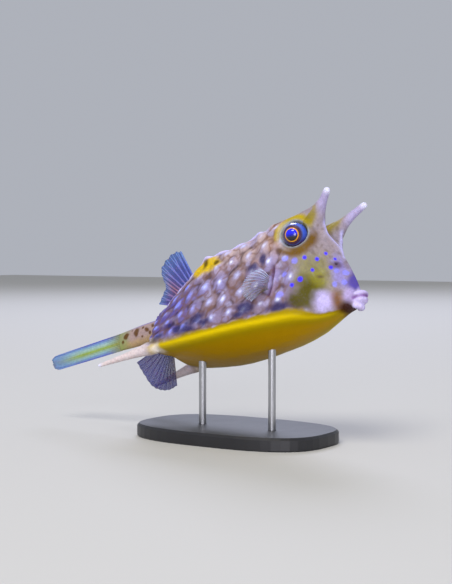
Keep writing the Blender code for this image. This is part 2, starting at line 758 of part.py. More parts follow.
def make_fish():
    head = make_head()
    carapace = make_carapace()
    cuts = rod_pockets()
    for side, word in ((1, "left"), (-1, "right")):
        horn = [mirrored(p, side) for p in (HORN_ROOT, HORN_BEND, HORN_TIP[word])]
        split_spike("horn_" + word, head, *horn, HORN_RADII, HORN_CUT)
        make_eye(word, side, head)
        spine = [mirrored(p, side) for p in (SPINE_ROOT, SPINE_BEND, SPINE_TIP)]
        split_spike("rear_spine_" + word, carapace, *spine, SPINE_RADII, SPINE_CUT)
        cuts.append(make_gill_slit(side))
    boolean(carapace, cuts, "DIFFERENCE")
    for name in LIPS:
        make_lip(name)
    trunk = search_tree(carapace)
    make_fin("dorsal_fin", trunk, DORSAL_ROOTS, DORSAL_TIPS)
    make_fin("anal_fin", trunk, ANAL_ROOTS, ANAL_TIPS)
    for side, word in ((1, "left"), (-1, "right")):
        make_fin(
            "pectoral_fin_" + word,
            trunk,
            PECTORAL_ROOTS,
            PECTORAL_TIPS,
            out=PECTORAL_OUT,
            bulge=PECTORAL_BULGE,
            side=side,
        )
    stalk = search_tree(make_stalk())
    make_fin(
        "caudal_fin",
        stalk,
        CAUDAL_ROOTS,
        CAUDAL_TIPS,
        rays=CAUDAL_RAYS,
        rows=CAUDAL_ROWS,
        pleat=CAUDAL_PLEAT,
    )


def main():
    for obj in list(bpy.data.objects):
        bpy.data.objects.remove(obj)
    make_fish()
    holder = bpy.data.objects.new("fish pose", None)
    bpy.context.scene.collection.objects.link(holder)
    pose = fish_pose()
    holder.location = pose.translation * MM
    holder.rotation_euler = pose.to_euler()
    for obj in bpy.data.objects:
        if obj.type == "MESH":
            obj.parent = holder
    make_stand()
    for obj in bpy.data.objects:
        if obj.type == "MESH":
            finish(obj)


if __name__ == "__main__":
    main()
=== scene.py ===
# %% [markdown]
# # A longhorn cowfish as a museum model
#
# The fish is a stiff box of six-sided bony plates under a thin, wet skin. Only the fins, the
# tail stalk, the lips and the eyes are soft. The model shows it banked in mid-turn, over a
# plain stand. The solids that carry it are already placed. This script dresses them.
#
# Everything is drawn in the fish's own frame in millimetres, X to the snout, Y to its left
# and Z to its back, because that is how one thinks of a fish. One matrix then sets it over
# the stand, in metres.

import math

import bmesh
import bpy
import numpy as np
from mathutils import Matrix, Vector, kdtree, noise


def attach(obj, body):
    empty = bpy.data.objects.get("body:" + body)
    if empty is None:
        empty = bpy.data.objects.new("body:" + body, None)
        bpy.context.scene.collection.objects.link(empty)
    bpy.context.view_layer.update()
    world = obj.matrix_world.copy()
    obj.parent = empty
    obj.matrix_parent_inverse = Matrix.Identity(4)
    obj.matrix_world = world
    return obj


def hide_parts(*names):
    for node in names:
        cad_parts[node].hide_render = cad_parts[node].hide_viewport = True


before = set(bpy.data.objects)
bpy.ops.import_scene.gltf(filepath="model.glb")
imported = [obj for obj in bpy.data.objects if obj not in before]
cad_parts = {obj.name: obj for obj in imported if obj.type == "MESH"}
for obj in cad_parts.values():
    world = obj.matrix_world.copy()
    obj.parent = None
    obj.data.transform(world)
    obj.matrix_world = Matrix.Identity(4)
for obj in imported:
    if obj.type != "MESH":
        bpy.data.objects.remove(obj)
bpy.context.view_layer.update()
MM = 0.001
print("solids:", len(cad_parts))

# %% [markdown]
# ## Pose
#
# A boxfish can't bend its shell, so a whole turn shows in how the box lies in the water: the
# nose goes up and the body leans over. Turning every form in the end would do, but one matrix
# that all forms go through keeps the numbers below in the fish's own frame.

# %% The pose
PITCH_UP = 14.8  # degrees, nose up
ROLL_LEFT = 18.8  # degrees, left side down
FISH_HEIGHT = 70.0

POSE = (
    Matrix.Translation(Vector((0, 0, FISH_HEIGHT)))
    @ Matrix.Rotation(-math.radians(PITCH_UP), 4, "Y")
    @ Matrix.Rotation(-math.radians(ROLL_LEFT), 4, "X")
)
TURN = np.array(POSE.to_3x3())
SHIFT = np.array(POSE.translation)


def to_world(points):
    """Points of the fish's frame, in millimetres, as world points in metres."""
    return (np.asarray(points, float) @ TURN.T + SHIFT) * MM


def new_object(name, data):
    """Object with the data, in the scene."""
    obj = bpy.data.objects.new(name, data)
    bpy.context.scene.collection.objects.link(obj)
    return obj


print("fish frame's origin, mm over the floor:", FISH_HEIGHT)


# %% [markdown]
# ## Camera
#
# A long lens from a little above the fish's own height, 34 degrees ahead of its right side.
# Its place is worked out from the fish's own frame.

# %% Camera
CAMERA_AZIMUTH = 33.7
CAMERA_ELEVATION = 2.0
CAMERA_DISTANCE = 660.0
FISH_IN_VIEW = (5.4, -8.4)  # where the fish's origin lies from the picture's middle, in mm
LENS = 76.25
SENSOR = 36.0


def make_camera():
    a, e = math.radians(CAMERA_AZIMUTH), math.radians(CAMERA_ELEVATION)
    back = Vector((math.sin(a) * math.cos(e), -math.cos(a) * math.cos(e), math.sin(e)))
    right = Vector((math.cos(a), math.sin(a), 0))
    up = back.cross(right)
    data = bpy.data.cameras.new("camera")
    data.lens = LENS
    data.sensor_width = SENSOR
    data.clip_start = 0.01
    camera = new_object("camera", data)
    place = Vector((0, 0, FISH_HEIGHT)) + back * CAMERA_DISTANCE
    place -= right * FISH_IN_VIEW[0] + up * FISH_IN_VIEW[1]
    camera.location = place * MM
    camera.rotation_euler = Matrix((right, up, back)).transposed().to_euler()
    bpy.context.scene.camera = camera
    return camera


camera = make_camera()
print("camera height mm:", round(camera.location.z / MM, 1))

# %% [markdown]
# ## The body's own coordinates
#
# A boxfish is drawn best from the ridges that make its box: the back, the brow ridge, the keel
# and the belly. Each station along the fish gives a point on all four. Any place on the body
# is then two numbers, the station and the share of the girth, and these also steer the
# markings, which follow the body and not a flat picture.

# %% Rails of the body
STATIONS = (
    # back (x, z), brow (x, y, z), keel (x, y, z), belly (x, z), roundness, hollow, crest
    ((76.2, -9.8), (75.4, 2.6, -10.8), (72.0, 4.1, -16.7), (71.2, -18.3), 1.00, 0.0, 0.9),
    ((74.4, -3.2), (70.2, 5.0, -5.0), (66.5, 5.2, -17.8), (65.5, -19.8), 1.00, 0.0, 0.5),
    ((68.6, 10.0), (61.6, 8.8, 12.0), (56.5, 9.6, -19.6), (55.5, -22.5), 1.00, 0.4, 0.35),
    ((58.5, 26.0), (58.5, 10.2, 31.5), (45.0, 15.6, -20.4), (44.0, -24.5), 0.55, 0.8, 1.0),
    ((43.0, 34.0), (42.0, 13.5, 33.6), (31.0, 20.4, -21.3), (30.0, -26.5), 0.40, 1.6, 1.0),
    ((27.0, 31.0), (26.0, 14.0, 29.6), (17.0, 23.4, -21.6), (16.0, -27.5), 0.38, 2.0, 1.0),
    ((10.0, 28.5), (9.0, 13.5, 27.2), (3.0, 25.4, -22.0), (2.0, -27.5), 0.38, 2.0, 1.0),
    ((-8.0, 27.5), (-9.0, 12.5, 26.0), (-11.0, 26.0, -22.0), (-12.0, -26.5), 0.38, 1.6, 1.0),
    ((-25.0, 18.5), (-25.0, 10.5, 17.2), (-25.0, 24.5, -21.0), (-25.0, -24.0), 0.42, 1.0, 1.0),
    ((-38.0, 12.0), (-38.0, 8.2, 10.0), (-40.0, 21.5, -19.0), (-38.0, -20.0), 0.50, 0.5, 1.0),
    ((-44.0, 9.3), (-44.0, 6.8, 7.2), (-46.0, 15.5, -16.0), (-45.0, -16.8), 0.70, 0.0, 1.0),
    ((-49.0, 7.6), (-49.0, 5.6, 5.6), (-49.0, 7.0, -8.5), (-48.5, -9.8), 0.90, 0.0, 1.0),
)
BROW_V = 0.2  # share of the half girth from the back midline to the brow ridge
KEEL_V = 0.7
FLANK_V = 0.45
LAST = len(STATIONS) - 1

BACK = [(row[0][0], 0, row[0][1]) for row in STATIONS]
BROW = [row[1] for row in STATIONS]
KEEL = [row[2] for row in STATIONS]
BELLY = [(row[3][0], 0, row[3][1]) for row in STATIONS]
CORNERS = [row[4:7] for row in STATIONS]


def unit(v):
    return v / np.maximum(np.linalg.norm(v, axis=-1, keepdims=True), 1e-9)


def hermite(p0, m0, p1, m1, t):
    """Cubic from p0 to p1 with the end tangents m0 and m1."""
    t = np.asarray(t, float)
    t = t.reshape(t.shape + (1,) * (p0.ndim - t.ndim))
    return (
        (2 * t**3 - 3 * t**2 + 1) * p0
        + (t**3 - 2 * t**2 + t) * m0
        + (3 * t**2 - 2 * t**3) * p1
        + (t**3 - t**2) * m1
    )


def spline(rows, t):
    """Smooth curve through rows at the whole numbers, read at t."""
    rows = np.asarray(rows, float)
    slope = np.gradient(rows, axis=0)
    t = np.clip(np.asarray(t, float), 0, len(rows) - 1)
    k = np.minimum(t.astype(int), len(rows) - 2)
    return hermite(rows[k], slope[k], rows[k + 1], slope[k + 1], t - k)


def half_surface(s, v):
    """Point of the smooth body at station s and share v of the half girth, on the left."""
    back, brow, keel, belly = (spline(rail, s) for rail in (BACK, BROW, KEEL, BELLY))
    corners = spline(CORNERS, s)
    roundness, hollow, crest = corners[..., 0:1], corners[..., 1:2], corners[..., 2:3]
    across = np.zeros_like(back)
    across[..., 1] = 1.0
    turn_brow = unit(unit(brow - back) + unit(keel - brow))
    turn_keel = unit(unit(keel - brow) + unit(belly - keel))
    out = np.zeros_like(back)
    one = np.ones_like(roundness)
    for start, end, p0, d0, soft0, p1, d1, soft1, dip in (
        (0.0, BROW_V, back, across, crest, brow, turn_brow, roundness, 0),
        (BROW_V, KEEL_V, brow, turn_brow, roundness, keel, turn_keel, roundness, hollow),
        (KEEL_V, 1.0, keel, turn_keel, roundness, belly, -across, one, 0),
    ):
        t = np.clip((v - start) / (end - start), 0, 1)[..., None]
        span = np.linalg.norm(p1 - p0, axis=-1, keepdims=True)
        p = hermite(p0, d0 * span * soft0, p1, d1 * span * soft1, t)
        p[..., 1:2] -= dip * np.sin(math.pi * t) ** 2
        here = (v >= start) & (v <= end)
        out = np.where(here[..., None], p, out)
    return out


def surface(s, v):
    """Point of the body at station s, with v from 0 at the back round the left to 2."""
    s, v = np.broadcast_arrays(np.asarray(s, float), np.mod(np.asarray(v, float), 2))
    left = v <= 1
    p = half_surface(s, np.where(left, v, 2 - v))
    p[..., 1] = np.where(left, p[..., 1], -p[..., 1])
    return p


probe = surface(np.array([6.0]), np.array([FLANK_V]))[0]
print("flank at the shoulder, mm:", probe.round(1))

# %% [markdown]
# ## Small helpers
#
# Ramps, bells and soft spots are all that the relief and the markings need. A ramp goes from 0
# at its first value to 1 at its second, which may be the lower one. A bell is 1 at 0 and fades
# to both sides. A spot is 1 at its middle and fades with distance.


# %% Helpers for shapes and fields
def ramp(start, end, x):
    t = np.clip((x - start) / (end - start), 0, 1)
    return t * t * (3 - 2 * t)


def bell(x, width):
    return np.exp(-((x / width) ** 2))


def spot(points, centre, radius):
    """Soft spot; the radius is one number or one for each axis."""
    d = (points - np.asarray(centre, float)) / np.asarray(radius, float)
    return np.exp(-(d**2).sum(-1))


def bezier(a, b, c, t):
    a, b, c = (np.asarray(p, float) for p in (a, b, c))
    t = np.asarray(t, float)[:, None]
    return (1 - t) ** 2 * a + 2 * t * (1 - t) * b + t**2 * c


def mirrored(point, side):
    return (point[0], point[1] * side, point[2])


def along_path(points, path, chunk=20000):
    """Distance of each point from a path, and its share of the path's points."""
    path = np.asarray(path, float)
    distance, share = [], []
    for start in range(0, len(points), chunk):
        part = points[start : start + chunk]
        d = (part**2).sum(1)[:, None] - 2 * part @ path.T + (path**2).sum(1)
        nearest = d.argmin(1)
        share.append(nearest / (len(path) - 1))
        distance.append(np.sqrt(np.maximum(d[np.arange(len(part)), nearest], 0)))
    return np.concatenate(distance), np.concatenate(share)


def ring_faces(rings, sides, cap=True):
    """Faces of a tube drawn as rings of points."""
    faces = []
    for i in range(rings - 1):
        for j in range(sides):
            k = (j + 1) % sides
            a, b = i * sides, (i + 1) * sides
            faces.append((a + j, a + k, b + k, b + j))
    if cap:
        faces.append(tuple(reversed(range(sides))))
        faces.append(tuple(range((rings - 1) * sides, rings * sides)))
    return faces


def tube(path, radii, sides=24):
    """Points and faces of a closed round tube; each radius is one number or across and up."""
    path = np.asarray(path, float)
    radii = np.asarray(radii, float)
    if radii.ndim == 1:
        radii = np.stack([radii, radii], 1)
    heading = unit(np.gradient(path, axis=0))
    across = unit(np.cross(heading, (0.0, 0.0, 1.0)))
    top = np.cross(across, heading)
    a = (np.arange(sides) * 2 * math.pi / sides)[None, :, None]
    wide, high = radii[:, 0, None, None], radii[:, 1, None, None]
    rings = path[:, None] + np.cos(a) * across[:, None] * wide + np.sin(a) * top[:, None] * high
    return rings.reshape(-1, 3), ring_faces(len(path), sides)


def make_object(name, points, faces):
    mesh = bpy.data.meshes.new(name)
    mesh.from_pydata([tuple(map(float, p)) for p in points], [], faces)
    return new_object(name, mesh)


def evaluated_mesh(obj):
    """Mesh with the object's modifiers applied."""
    bpy.context.view_layer.update()
    graph = bpy.context.evaluated_depsgraph_get()
    return bpy.data.meshes.new_from_object(obj.evaluated_get(graph))


def turn_outwards(obj, weld=0.0):
    bm = bmesh.new()
    bm.from_mesh(obj.data)
    if weld:
        bmesh.ops.remove_doubles(bm, verts=bm.verts, dist=weld)
    bmesh.ops.recalc_face_normals(bm, faces=bm.faces)
    bm.to_mesh(obj.data)
    bm.free()


def read_points(mesh):
    co = np.empty(len(mesh.vertices) * 3, np.float32)
    mesh.vertices.foreach_get("co", co)
    return co.reshape(-1, 3).astype(float)


def write_points(mesh, points):
    mesh.vertices.foreach_set("co", np.asarray(points, np.float32).ravel())
    mesh.update()


def write_field(mesh, name, values):
    field = mesh.attributes.new(name, "FLOAT", "POINT")
    field.data.foreach_set("value", np.asarray(values, np.float32))


print("ramp and bell halfway:", ramp(0, 1, 0.5), bell(0.5, 1.0).round(3))

# %% [markdown]
# ## One skin
#
# On the real fish the skin runs unbroken from the lips over the plates to the tail, so the
# forms under it are laid over one another as closed shells and wrapped by a voxel remesh. That
# welds the horns, the spines and the lips to the body with no seam.

# %% Horns and spines
HORN_ROOT = (54.0, 7.0, 23.5)
HORN_BEND = (60.8, 10.3, 35.2)
HORN_TIP = {1: (74.5, 15.9, 44.9), -1: (70.2, 15.5, 43.5)}
HORN_RADII = (5.4, 5.5, 4.6, 3.2, 2.35, 1.95, 1.75)
HORN_FOOT = (
    # the brow sweeps up into the back of the horn: place and radius
    (31.5, 11.4, 29.8, 2.2),
    (36.6, 11.3, 31.2, 3.1),
    (41.9, 11.2, 31.7, 3.5),
    (47.7, 11.1, 32.2, 3.7),
    (54.2, 11.2, 33.1, 3.8),
    (59.8, 11.7, 34.5, 3.4),
    (63.6, 12.7, 37.2, 2.5),
    (66.2, 13.8, 39.9, 1.3),
)
FACE_RIDGE = (
    # from the front of the horn down to the middle of the face
    (59.4, 9.9, 34.0, 1.2),
    (60.1, 9.0, 30.0, 1.7),
    (60.9, 8.0, 26.0, 2.2),
    (61.3, 7.1, 22.5, 2.3),
    (62.2, 5.3, 20.4, 2.2),
    (63.6, 3.0, 17.9, 2.1),
    (64.9, 1.0, 15.5, 2.0),
    (65.9, 0.2, 12.6, 1.9),
    (66.9, 0.2, 9.5, 1.5),
)
SPINE_ROOT = (-34.0, 18.5, -17.5)
SPINE_BEND = (-56.0, 21.5, -20.0)
SPINE_TIP = (-76.6, 24.0, -22.4)
SPINE_RADII = (3.0, 3.9, 2.95, 2.2, 1.7, 1.3, 0.95)
SIDES = {1: "left", -1: "right"}
SPIKE_POINTS = 60


def spike_path(root, bend, tip, side):
    share = np.linspace(0, 1, SPIKE_POINTS)
    return bezier(mirrored(root, side), mirrored(bend, side), mirrored(tip, side), share)


def round_tipped(path, radii):
    """Radii along a path that close the last stretch as a dome."""
    share = np.linspace(0, 1, len(path))
    r = spline(np.asarray(radii, float)[:, None], share * (len(radii) - 1))[:, 0]
    to_tip = np.linalg.norm(path - path[-1], axis=1)
    dome = np.clip(to_tip / radii[-1], 0, 1)
    return np.maximum(r * np.sqrt(1 - (1 - dome) ** 2), 0.05)


HORN_PATHS = {side: spike_path(HORN_ROOT, HORN_BEND, HORN_TIP[side], side) for side in SIDES}
SPINE_PATHS = {side: spike_path(SPINE_ROOT, SPINE_BEND, SPINE_TIP, side) for side in SIDES}
for word, paths in (("horn", HORN_PATHS), ("spine", SPINE_PATHS)):
    print(word, "from root to tip, mm:", np.linalg.norm(paths[1][-1] - paths[1][0]).round(1))

# %% Tail stalk
STALK = (
    # x, middle z, half height, half width
    (-44.0, -0.9, 6.6, 5.0),
    (-48.8, -0.8, 6.6, 4.6),
    (-56.0, -0.4, 6.1, 4.2),
    (-64.0, -0.5, 5.9, 3.6),
    (-73.0, -0.9, 5.6, 2.8),
    (-81.0, -1.2, 5.2, 1.9),
)
stalk_rows = spline(STALK, np.linspace(0, len(STALK) - 1, 40))
STALK_PATH = np.stack([stalk_rows[:, 0], 0 * stalk_rows[:, 0], stalk_rows[:, 1]], 1)
STALK_RADII = stalk_rows[:, [3, 2]]
print("stalk length mm:", round(STALK[0][0] - STALK[-1][0], 1))

# %% Lips
LIP_ROLLS = (
    # corner (x, y, z), front (x, z), radius at the corner and in front
    ((74.2, 3.3, -12.3), (78.1, -11.9), 1.25, 1.8),
    ((74.4, 3.1, -15.4), (78.3, -14.5), 1.1, 1.4),
    ((73.2, 2.8, -17.5), (75.8, -18.1), 1.3, 1.75),
)
CREASE = ((73.8, 3.6, -13.9), (79.4, -13.1))  # between the folds of the upper lip


def horseshoe(corner, front, points=40, past=10):
    """Curve round the front of the mouth from one corner to the other."""
    a = np.radians(np.linspace(-past, 180 + past, points))
    return np.stack(
        [
            corner[0] + (front[0] - corner[0]) * np.sin(a),
            corner[1] * np.cos(a),
            corner[2] + (front[1] - corner[2]) * np.sin(a),
        ],
        1,
    )


def lip_roll(corner, front, corner_r, front_r):
    lift = np.sin(np.radians(np.linspace(0, 180, 40)))
    return horseshoe(corner, front), corner_r + (front_r - corner_r) * lift


print("mouth width mm:", 2 * CREASE[0][1])

# %% Wrap the forms
BODY_RINGS = 150
BODY_SIDES = 168
VOXEL = 0.56  # fine enough for the lips' crease, coarse enough for a light mesh


def gather_forms():
    s, v = np.meshgrid(
        np.linspace(0, LAST, BODY_RINGS), np.arange(BODY_SIDES) * 2 / BODY_SIDES, indexing="ij"
    )
    forms = [(surface(s, v).reshape(-1, 3), ring_faces(BODY_RINGS, BODY_SIDES))]
    forms.append(tube(STALK_PATH, STALK_RADII, 32))
    forms += [tube(*lip_roll(*roll)) for roll in LIP_ROLLS]
    for side in SIDES:
        forms.append(tube(HORN_PATHS[side], round_tipped(HORN_PATHS[side], HORN_RADII)))
        forms.append(tube(SPINE_PATHS[side], round_tipped(SPINE_PATHS[side], SPINE_RADII)))
        for ridge in (HORN_FOOT, FACE_RIDGE):
            rows = spline(ridge, np.linspace(0, len(ridge) - 1, 40))
            forms.append(tube(rows[:, :3] * (1, side, 1), rows[:, 3], 16))
    return forms


def wrap(forms):
    points, faces, start = [], [], 0
    for form_points, form_faces in forms:
        points.append(form_points)
        faces += [tuple(start + k for k in face) for face in form_faces]
        start += len(form_points)
    obj = make_object("forms", np.concatenate(points), faces)
    turn_outwards(obj, 0.001)
    remesh = obj.modifiers.new("wrap", "REMESH")
    remesh.mode = "VOXEL"
    remesh.voxel_size = VOXEL
    mesh = evaluated_mesh(obj)
    bpy.data.objects.remove(obj)
    return mesh


skin_mesh = wrap(gather_forms())
print("wrapped skin, faces:", len(skin_mesh.polygons))


# %% Smooth the wrap
def smooth(mesh, points, rounds, strength=0.55, weight=None, swell=0.96):
    """Evens out the points; each shrinking round is followed by one that swells back."""
    edges = np.empty(len(mesh.edges) * 2, np.int32)
    mesh.edges.foreach_get("vertices", edges)
    a, b = edges.reshape(-1, 2).T
    count = np.bincount(a, minlength=len(points)) + np.bincount(b, minlength=len(points))
    hold = np.ones(len(points)) if weight is None else weight
    for _ in range(rounds):
        for step in (strength, -strength * swell):
            total = np.stack(
                [
                    np.bincount(a, xyz[b], len(points)) + np.bincount(b, xyz[a], len(points))
                    for xyz in points.T
                ],
                1,
            )
            points = points + (total / count[:, None] - points) * step * hold[:, None]
    return points


ROOTS = (((59.5, 10.0, 32.0), 7.0), ((-42.0, 19.0, -18.0), 6.0))  # place, radius
CHEEK = [(at, 8.0) for at in ((56.5, 13.0, 6.0), (55.0, 14.0, -6.0), (56.5, 11.5, 16.0))]


def near_any(points, places):
    """1 at any of the places or their mirror images, fading with distance."""
    return np.max([spot(points, mirrored(at, s), r) for at, r in places for s in SIDES], axis=0)


skin_points = smooth(skin_mesh, read_points(skin_mesh), rounds=12)
at_roots, at_cheek = near_any(skin_points, ROOTS), near_any(skin_points, CHEEK)
skin_points = smooth(skin_mesh, skin_points, rounds=30, strength=0.6, weight=at_roots)
at_cheek = np.minimum(1.4 * at_cheek, 1.0)
skin_points = smooth(skin_mesh, skin_points, 45, 0.6, at_cheek, swell=0.3)
write_points(skin_mesh, skin_points)
print("most smoothed: roots", at_roots.max().round(2), "cheek", at_cheek.max().round(2))

# %% Where each point of the skin lies on the body
GRID_STATIONS = 240
GRID_GIRTH = 220
REFINEMENTS = 4
FAR_S, FAR_V = 0.15, 0.02  # the most that one refinement moves a point


def find_stations(points):
    """Station and share of the girth of the nearest place on the smooth body."""
    s_grid, v_grid = np.meshgrid(
        np.linspace(0, LAST, GRID_STATIONS), np.arange(GRID_GIRTH) * 2 / GRID_GIRTH, indexing="ij"
    )
    grid = surface(s_grid, v_grid).reshape(-1, 3)
    tree = kdtree.KDTree(len(grid))
    for k, p in enumerate(grid):
        tree.insert(p, k)
    tree.balance()
    nearest = np.array([tree.find(p)[1] for p in points])
    s, v = s_grid.ravel()[nearest], v_grid.ravel()[nearest]
    step = 0.004
    for _ in range(REFINEMENTS):
        here = surface(s, v)
        ds = (surface(s + step, v) - surface(s - step, v)) / (2 * step)
        dv = (surface(s, v + step) - surface(s, v - step)) / (2 * step)
        gap = points - here
        a, b, c = (ds * ds).sum(1), (ds * dv).sum(1), (dv * dv).sum(1)
        p, q = (gap * ds).sum(1), (gap * dv).sum(1)
        det = np.maximum(a * c - b * b, 1e-6)
        s = np.clip(s + np.clip((p * c - q * b) / det, -FAR_S, FAR_S), step, LAST - step)
        v = v + np.clip((q * a - p * b) / det, -FAR_V, FAR_V)
    return s, np.mod(v, 2)


skin_s, skin_v = find_stations(skin_points)
half_v = np.where(skin_v <= 1, skin_v, 2 - skin_v)
print("stations found:", len(skin_s), skin_s.min().round(2), skin_s.max().round(2))

# %% [markdown]
# ## Plates
#
# The shell is a lattice of six-sided plates, 24 rows of them round the body. Each is a low
# dome with a groove round it. The lattice is the same as in the solids, and the relief is
# worked out for every point of the skin from its distance to the nearest plate's middle.
# Displacing the mesh, and not only its shading, keeps the plates in the outline and in an
# exported mesh.

# %% Lattice of the plates
PLATE_ROWS = 24
PLATE_PITCH = 10.0
FIRST_STATION = 2.82  # where the lattice starts to count
WARP = 0.55  # how far the grooves wander, in quarters of a plate

lengths_at = np.linspace(0, LAST, 500)
flank_line = surface(lengths_at, np.full(500, FLANK_V))
lengths = np.concatenate([[0], np.cumsum(np.linalg.norm(np.diff(flank_line, axis=0), axis=1))])
lengths -= np.interp(FIRST_STATION, lengths_at, lengths)


def wander(points, scale, seed):
    """Smooth noise from -1 to 1 with features of about the scale in millimetres."""
    away = Vector((seed * 17.3, seed * 5.1, seed * 9.7))
    return np.array([noise.noise(Vector(p) / scale + away) for p in points])


def plate_lattice(points, s, v):
    """Hexagonal distance from the nearest plate's middle, 1 in the groove, and a tone."""
    u = np.interp(s, lengths_at, lengths) * 4 / PLATE_PITCH + WARP * wander(points, 9.0, 1)
    w = v * PLATE_ROWS * 3 + WARP * 1.4 * wander(points, 9.0, 2)
    best = np.full(len(u), 9.0)
    tone = np.zeros(len(u))
    rounder = np.zeros(len(u))
    for shift in (-1, 0, 1):
        row = np.round(w / 6) + shift
        first = 2 + 2 * np.mod(row, 2)
        column = np.round((u - first) / 4)
        du = np.abs(u - first - 4 * column)
        dw = np.abs(w - 6 * row)
        h = np.maximum(du / 2, (du + dw) / 4)
        key = np.mod(row, PLATE_ROWS) * 12.9898 + column * 78.233
        nearer = h < best
        best = np.where(nearer, h, best)
        tone = np.where(nearer, np.mod(np.sin(key) * 43758.5453, 1.0), tone)
        rounder = np.where(nearer, np.hypot(du / 2.1, dw / 3.3), rounder)
    return best, rounder, tone


plate_edge, plate_round, plate_tone = plate_lattice(skin_points, skin_s, skin_v)
print("plate tones:", plate_tone.min().round(2), plate_tone.max().round(2))

# %% [markdown]
# ## Eye socket, gill slit and nostril
#
# The eye sits in a socket with a raised rim, the gill slit is a short fold behind the cheek and
# the nostril a small pit. They could be cut as solids, but the skin is one dense mesh, so
# moving its points by a height along their normals gives softer forms and no new seams. The
# height comes from each point's distance to the middle or the line of the feature.

# %% Places on the skin that the relief and the markings need
EYE_AT = (47.6, 13.0, 24.2)
EYE_R = 6.75
GAZE = unit(np.array((0.21, 0.92, -0.33)))
SOCKET_AXIS = unit(np.array((0.40, 0.89, -0.17)))
GILL_SLIT = ((4.02, 0.43), (3.91, 0.47), (3.88, 0.52), (3.96, 0.56))  # station, girth share
NOSTRIL_AT = (66.6, 5.6, 5.6)
SCUTES = ((26.6, 13.8, 30.4), (-9.5, 12.8, 26.0))  # raised corners of the brow ridge
YELLOW_V = 0.64  # share of the half girth where the flank ends and the yellow begins
HALF_GIRTHS = ((0, 2, 4, 7, 9, LAST), (16, 45, 78, 80, 60, 30))  # stations, millimetres
SPIKE_SKIN = 1.5  # how far past a spike's own radius the skin still belongs to it

folded = skin_points * (1, 0, 1) + np.abs(skin_points) * (0, 1, 0)
X, Y, Z = folded.T


def ridge_line(rows, shift):
    """Middle line of a ridge, moved out to the skin."""
    return spline(rows, np.linspace(0, len(rows) - 1, 80))[:, :3] + shift


def spike_share(paths, radii):
    """How far along a horn or spine each point lies, and 0 where there is none."""
    shares = np.zeros(len(skin_points))
    for path in paths.values():
        distance, share = along_path(skin_points, path)
        radius = round_tipped(path, radii)[(share * (SPIKE_POINTS - 1)).astype(int)]
        near = distance < radius + SPIKE_SKIN
        shares = np.where(near, np.maximum(shares, share), shares)
    return shares


rail_at = np.linspace(0, LAST, 700)
slit_line = np.array([surface(a, b) for a, b in spline(GILL_SLIT, np.linspace(0, 3, 60))])
to_brow, _ = along_path(folded, spline(BROW, rail_at))
to_keel, _ = along_path(folded, spline(KEEL, rail_at))
to_face_ridge, _ = along_path(folded, ridge_line(FACE_RIDGE, (1.8, 0, 1.2)))
to_foot, _ = along_path(folded, ridge_line(HORN_FOOT, (0, 0, 3.3)))
to_crease, _ = along_path(skin_points, horseshoe(*CREASE, points=60, past=0))
to_slit, slit_share = along_path(folded, slit_line)
to_fold, _ = along_path(folded, slit_line + (2.0, 0, 0))
to_nostril = np.linalg.norm(folded - NOSTRIL_AT, axis=1)
to_eye = np.linalg.norm(folded - EYE_AT, axis=1)
out_of_eye = (folded - EYE_AT) @ SOCKET_AXIS
off_axis = np.sqrt(np.maximum(to_eye**2 - out_of_eye**2, 0))

on_slit = ramp(0, 0.12, slit_share) * ramp(1, 0.88, slit_share)
horn_share = spike_share(HORN_PATHS, HORN_RADII)
spine_share = spike_share(SPINE_PATHS, SPINE_RADII)
on_body = 1 - np.maximum(ramp(0.35, 0.6, horn_share), ramp(0.25, 0.45, spine_share))
on_body *= ramp(-51.5, -49.5, X)
on_lips = ramp(73.4, 75.2, X - 0.25 * (Z + 14)) * ramp(-21.0, -19.3, Z)
below_line = (half_v - YELLOW_V) * np.interp(skin_s, *HALF_GIRTHS)  # millimetres into the yellow
print("gill slit, mm:", np.linalg.norm(slit_line[-1] - slit_line[0]).round(1))

# %% Relief
PLATE_RISE = 0.8
GROOVE = 0.25


def relief():
    """Height over the smooth skin at each of its points, in millimetres."""
    dome = ramp(1.0, 0.25, 0.5 * plate_edge + 0.5 * plate_round)
    shell = on_body * ramp(55.0, 44.0, X + 0.25 * Z) * (1 - 0.9 * ramp(-1.5, 2.0, below_line))
    rise = shell * (1 - np.exp(-((to_eye / 11.0) ** 4))) * (PLATE_RISE * dome - GROOVE)
    rise += on_body * 0.55 * bell(to_brow, 1.2) * ramp(-42, -34, X) * ramp(44, 36, X)
    rise += on_body * 0.5 * bell(to_keel, 1.5) * ramp(-40, -30, X) * ramp(60, 45, X)
    for at in SCUTES:
        rise += 1.3 * spot(folded, at, (2.6, 2.2, 2.6))
    rise += 0.5 * bell(off_axis - EYE_R - 1.3, 0.8) * ramp(-4, 0, out_of_eye)
    rise += on_slit * (0.5 * bell(to_fold, 1.2) - 1.5 * bell(to_slit, 0.75))
    rise += 0.35 * bell(to_nostril - 1.2, 0.45) - 1.1 * bell(to_nostril, 0.6)
    rise -= 0.5 * bell(to_crease, 0.7)
    rise += 0.10 * on_lips * np.sin(np.arctan2(skin_points[:, 1], X - 70.0) * 60)
    return rise


normals = np.empty(len(skin_mesh.vertices) * 3, np.float32)
skin_mesh.vertex_normals.foreach_get("vector", normals)
skin_points = skin_points + normals.reshape(-1, 3) * relief()[:, None]
sunk = ramp(EYE_R + 0.5, EYE_R - 0.1, off_axis) * np.maximum(out_of_eye + 1.0, 0) * (to_eye < 13)
socket = np.where(skin_points[:, 1:2] < 0, SOCKET_AXIS * (1, -1, 1), SOCKET_AXIS)
skin_points = skin_points - sunk[:, None] * socket
write_points(skin_mesh, to_world(skin_points))
print("deepest point of the eye socket mm:", sunk.max().round(1))

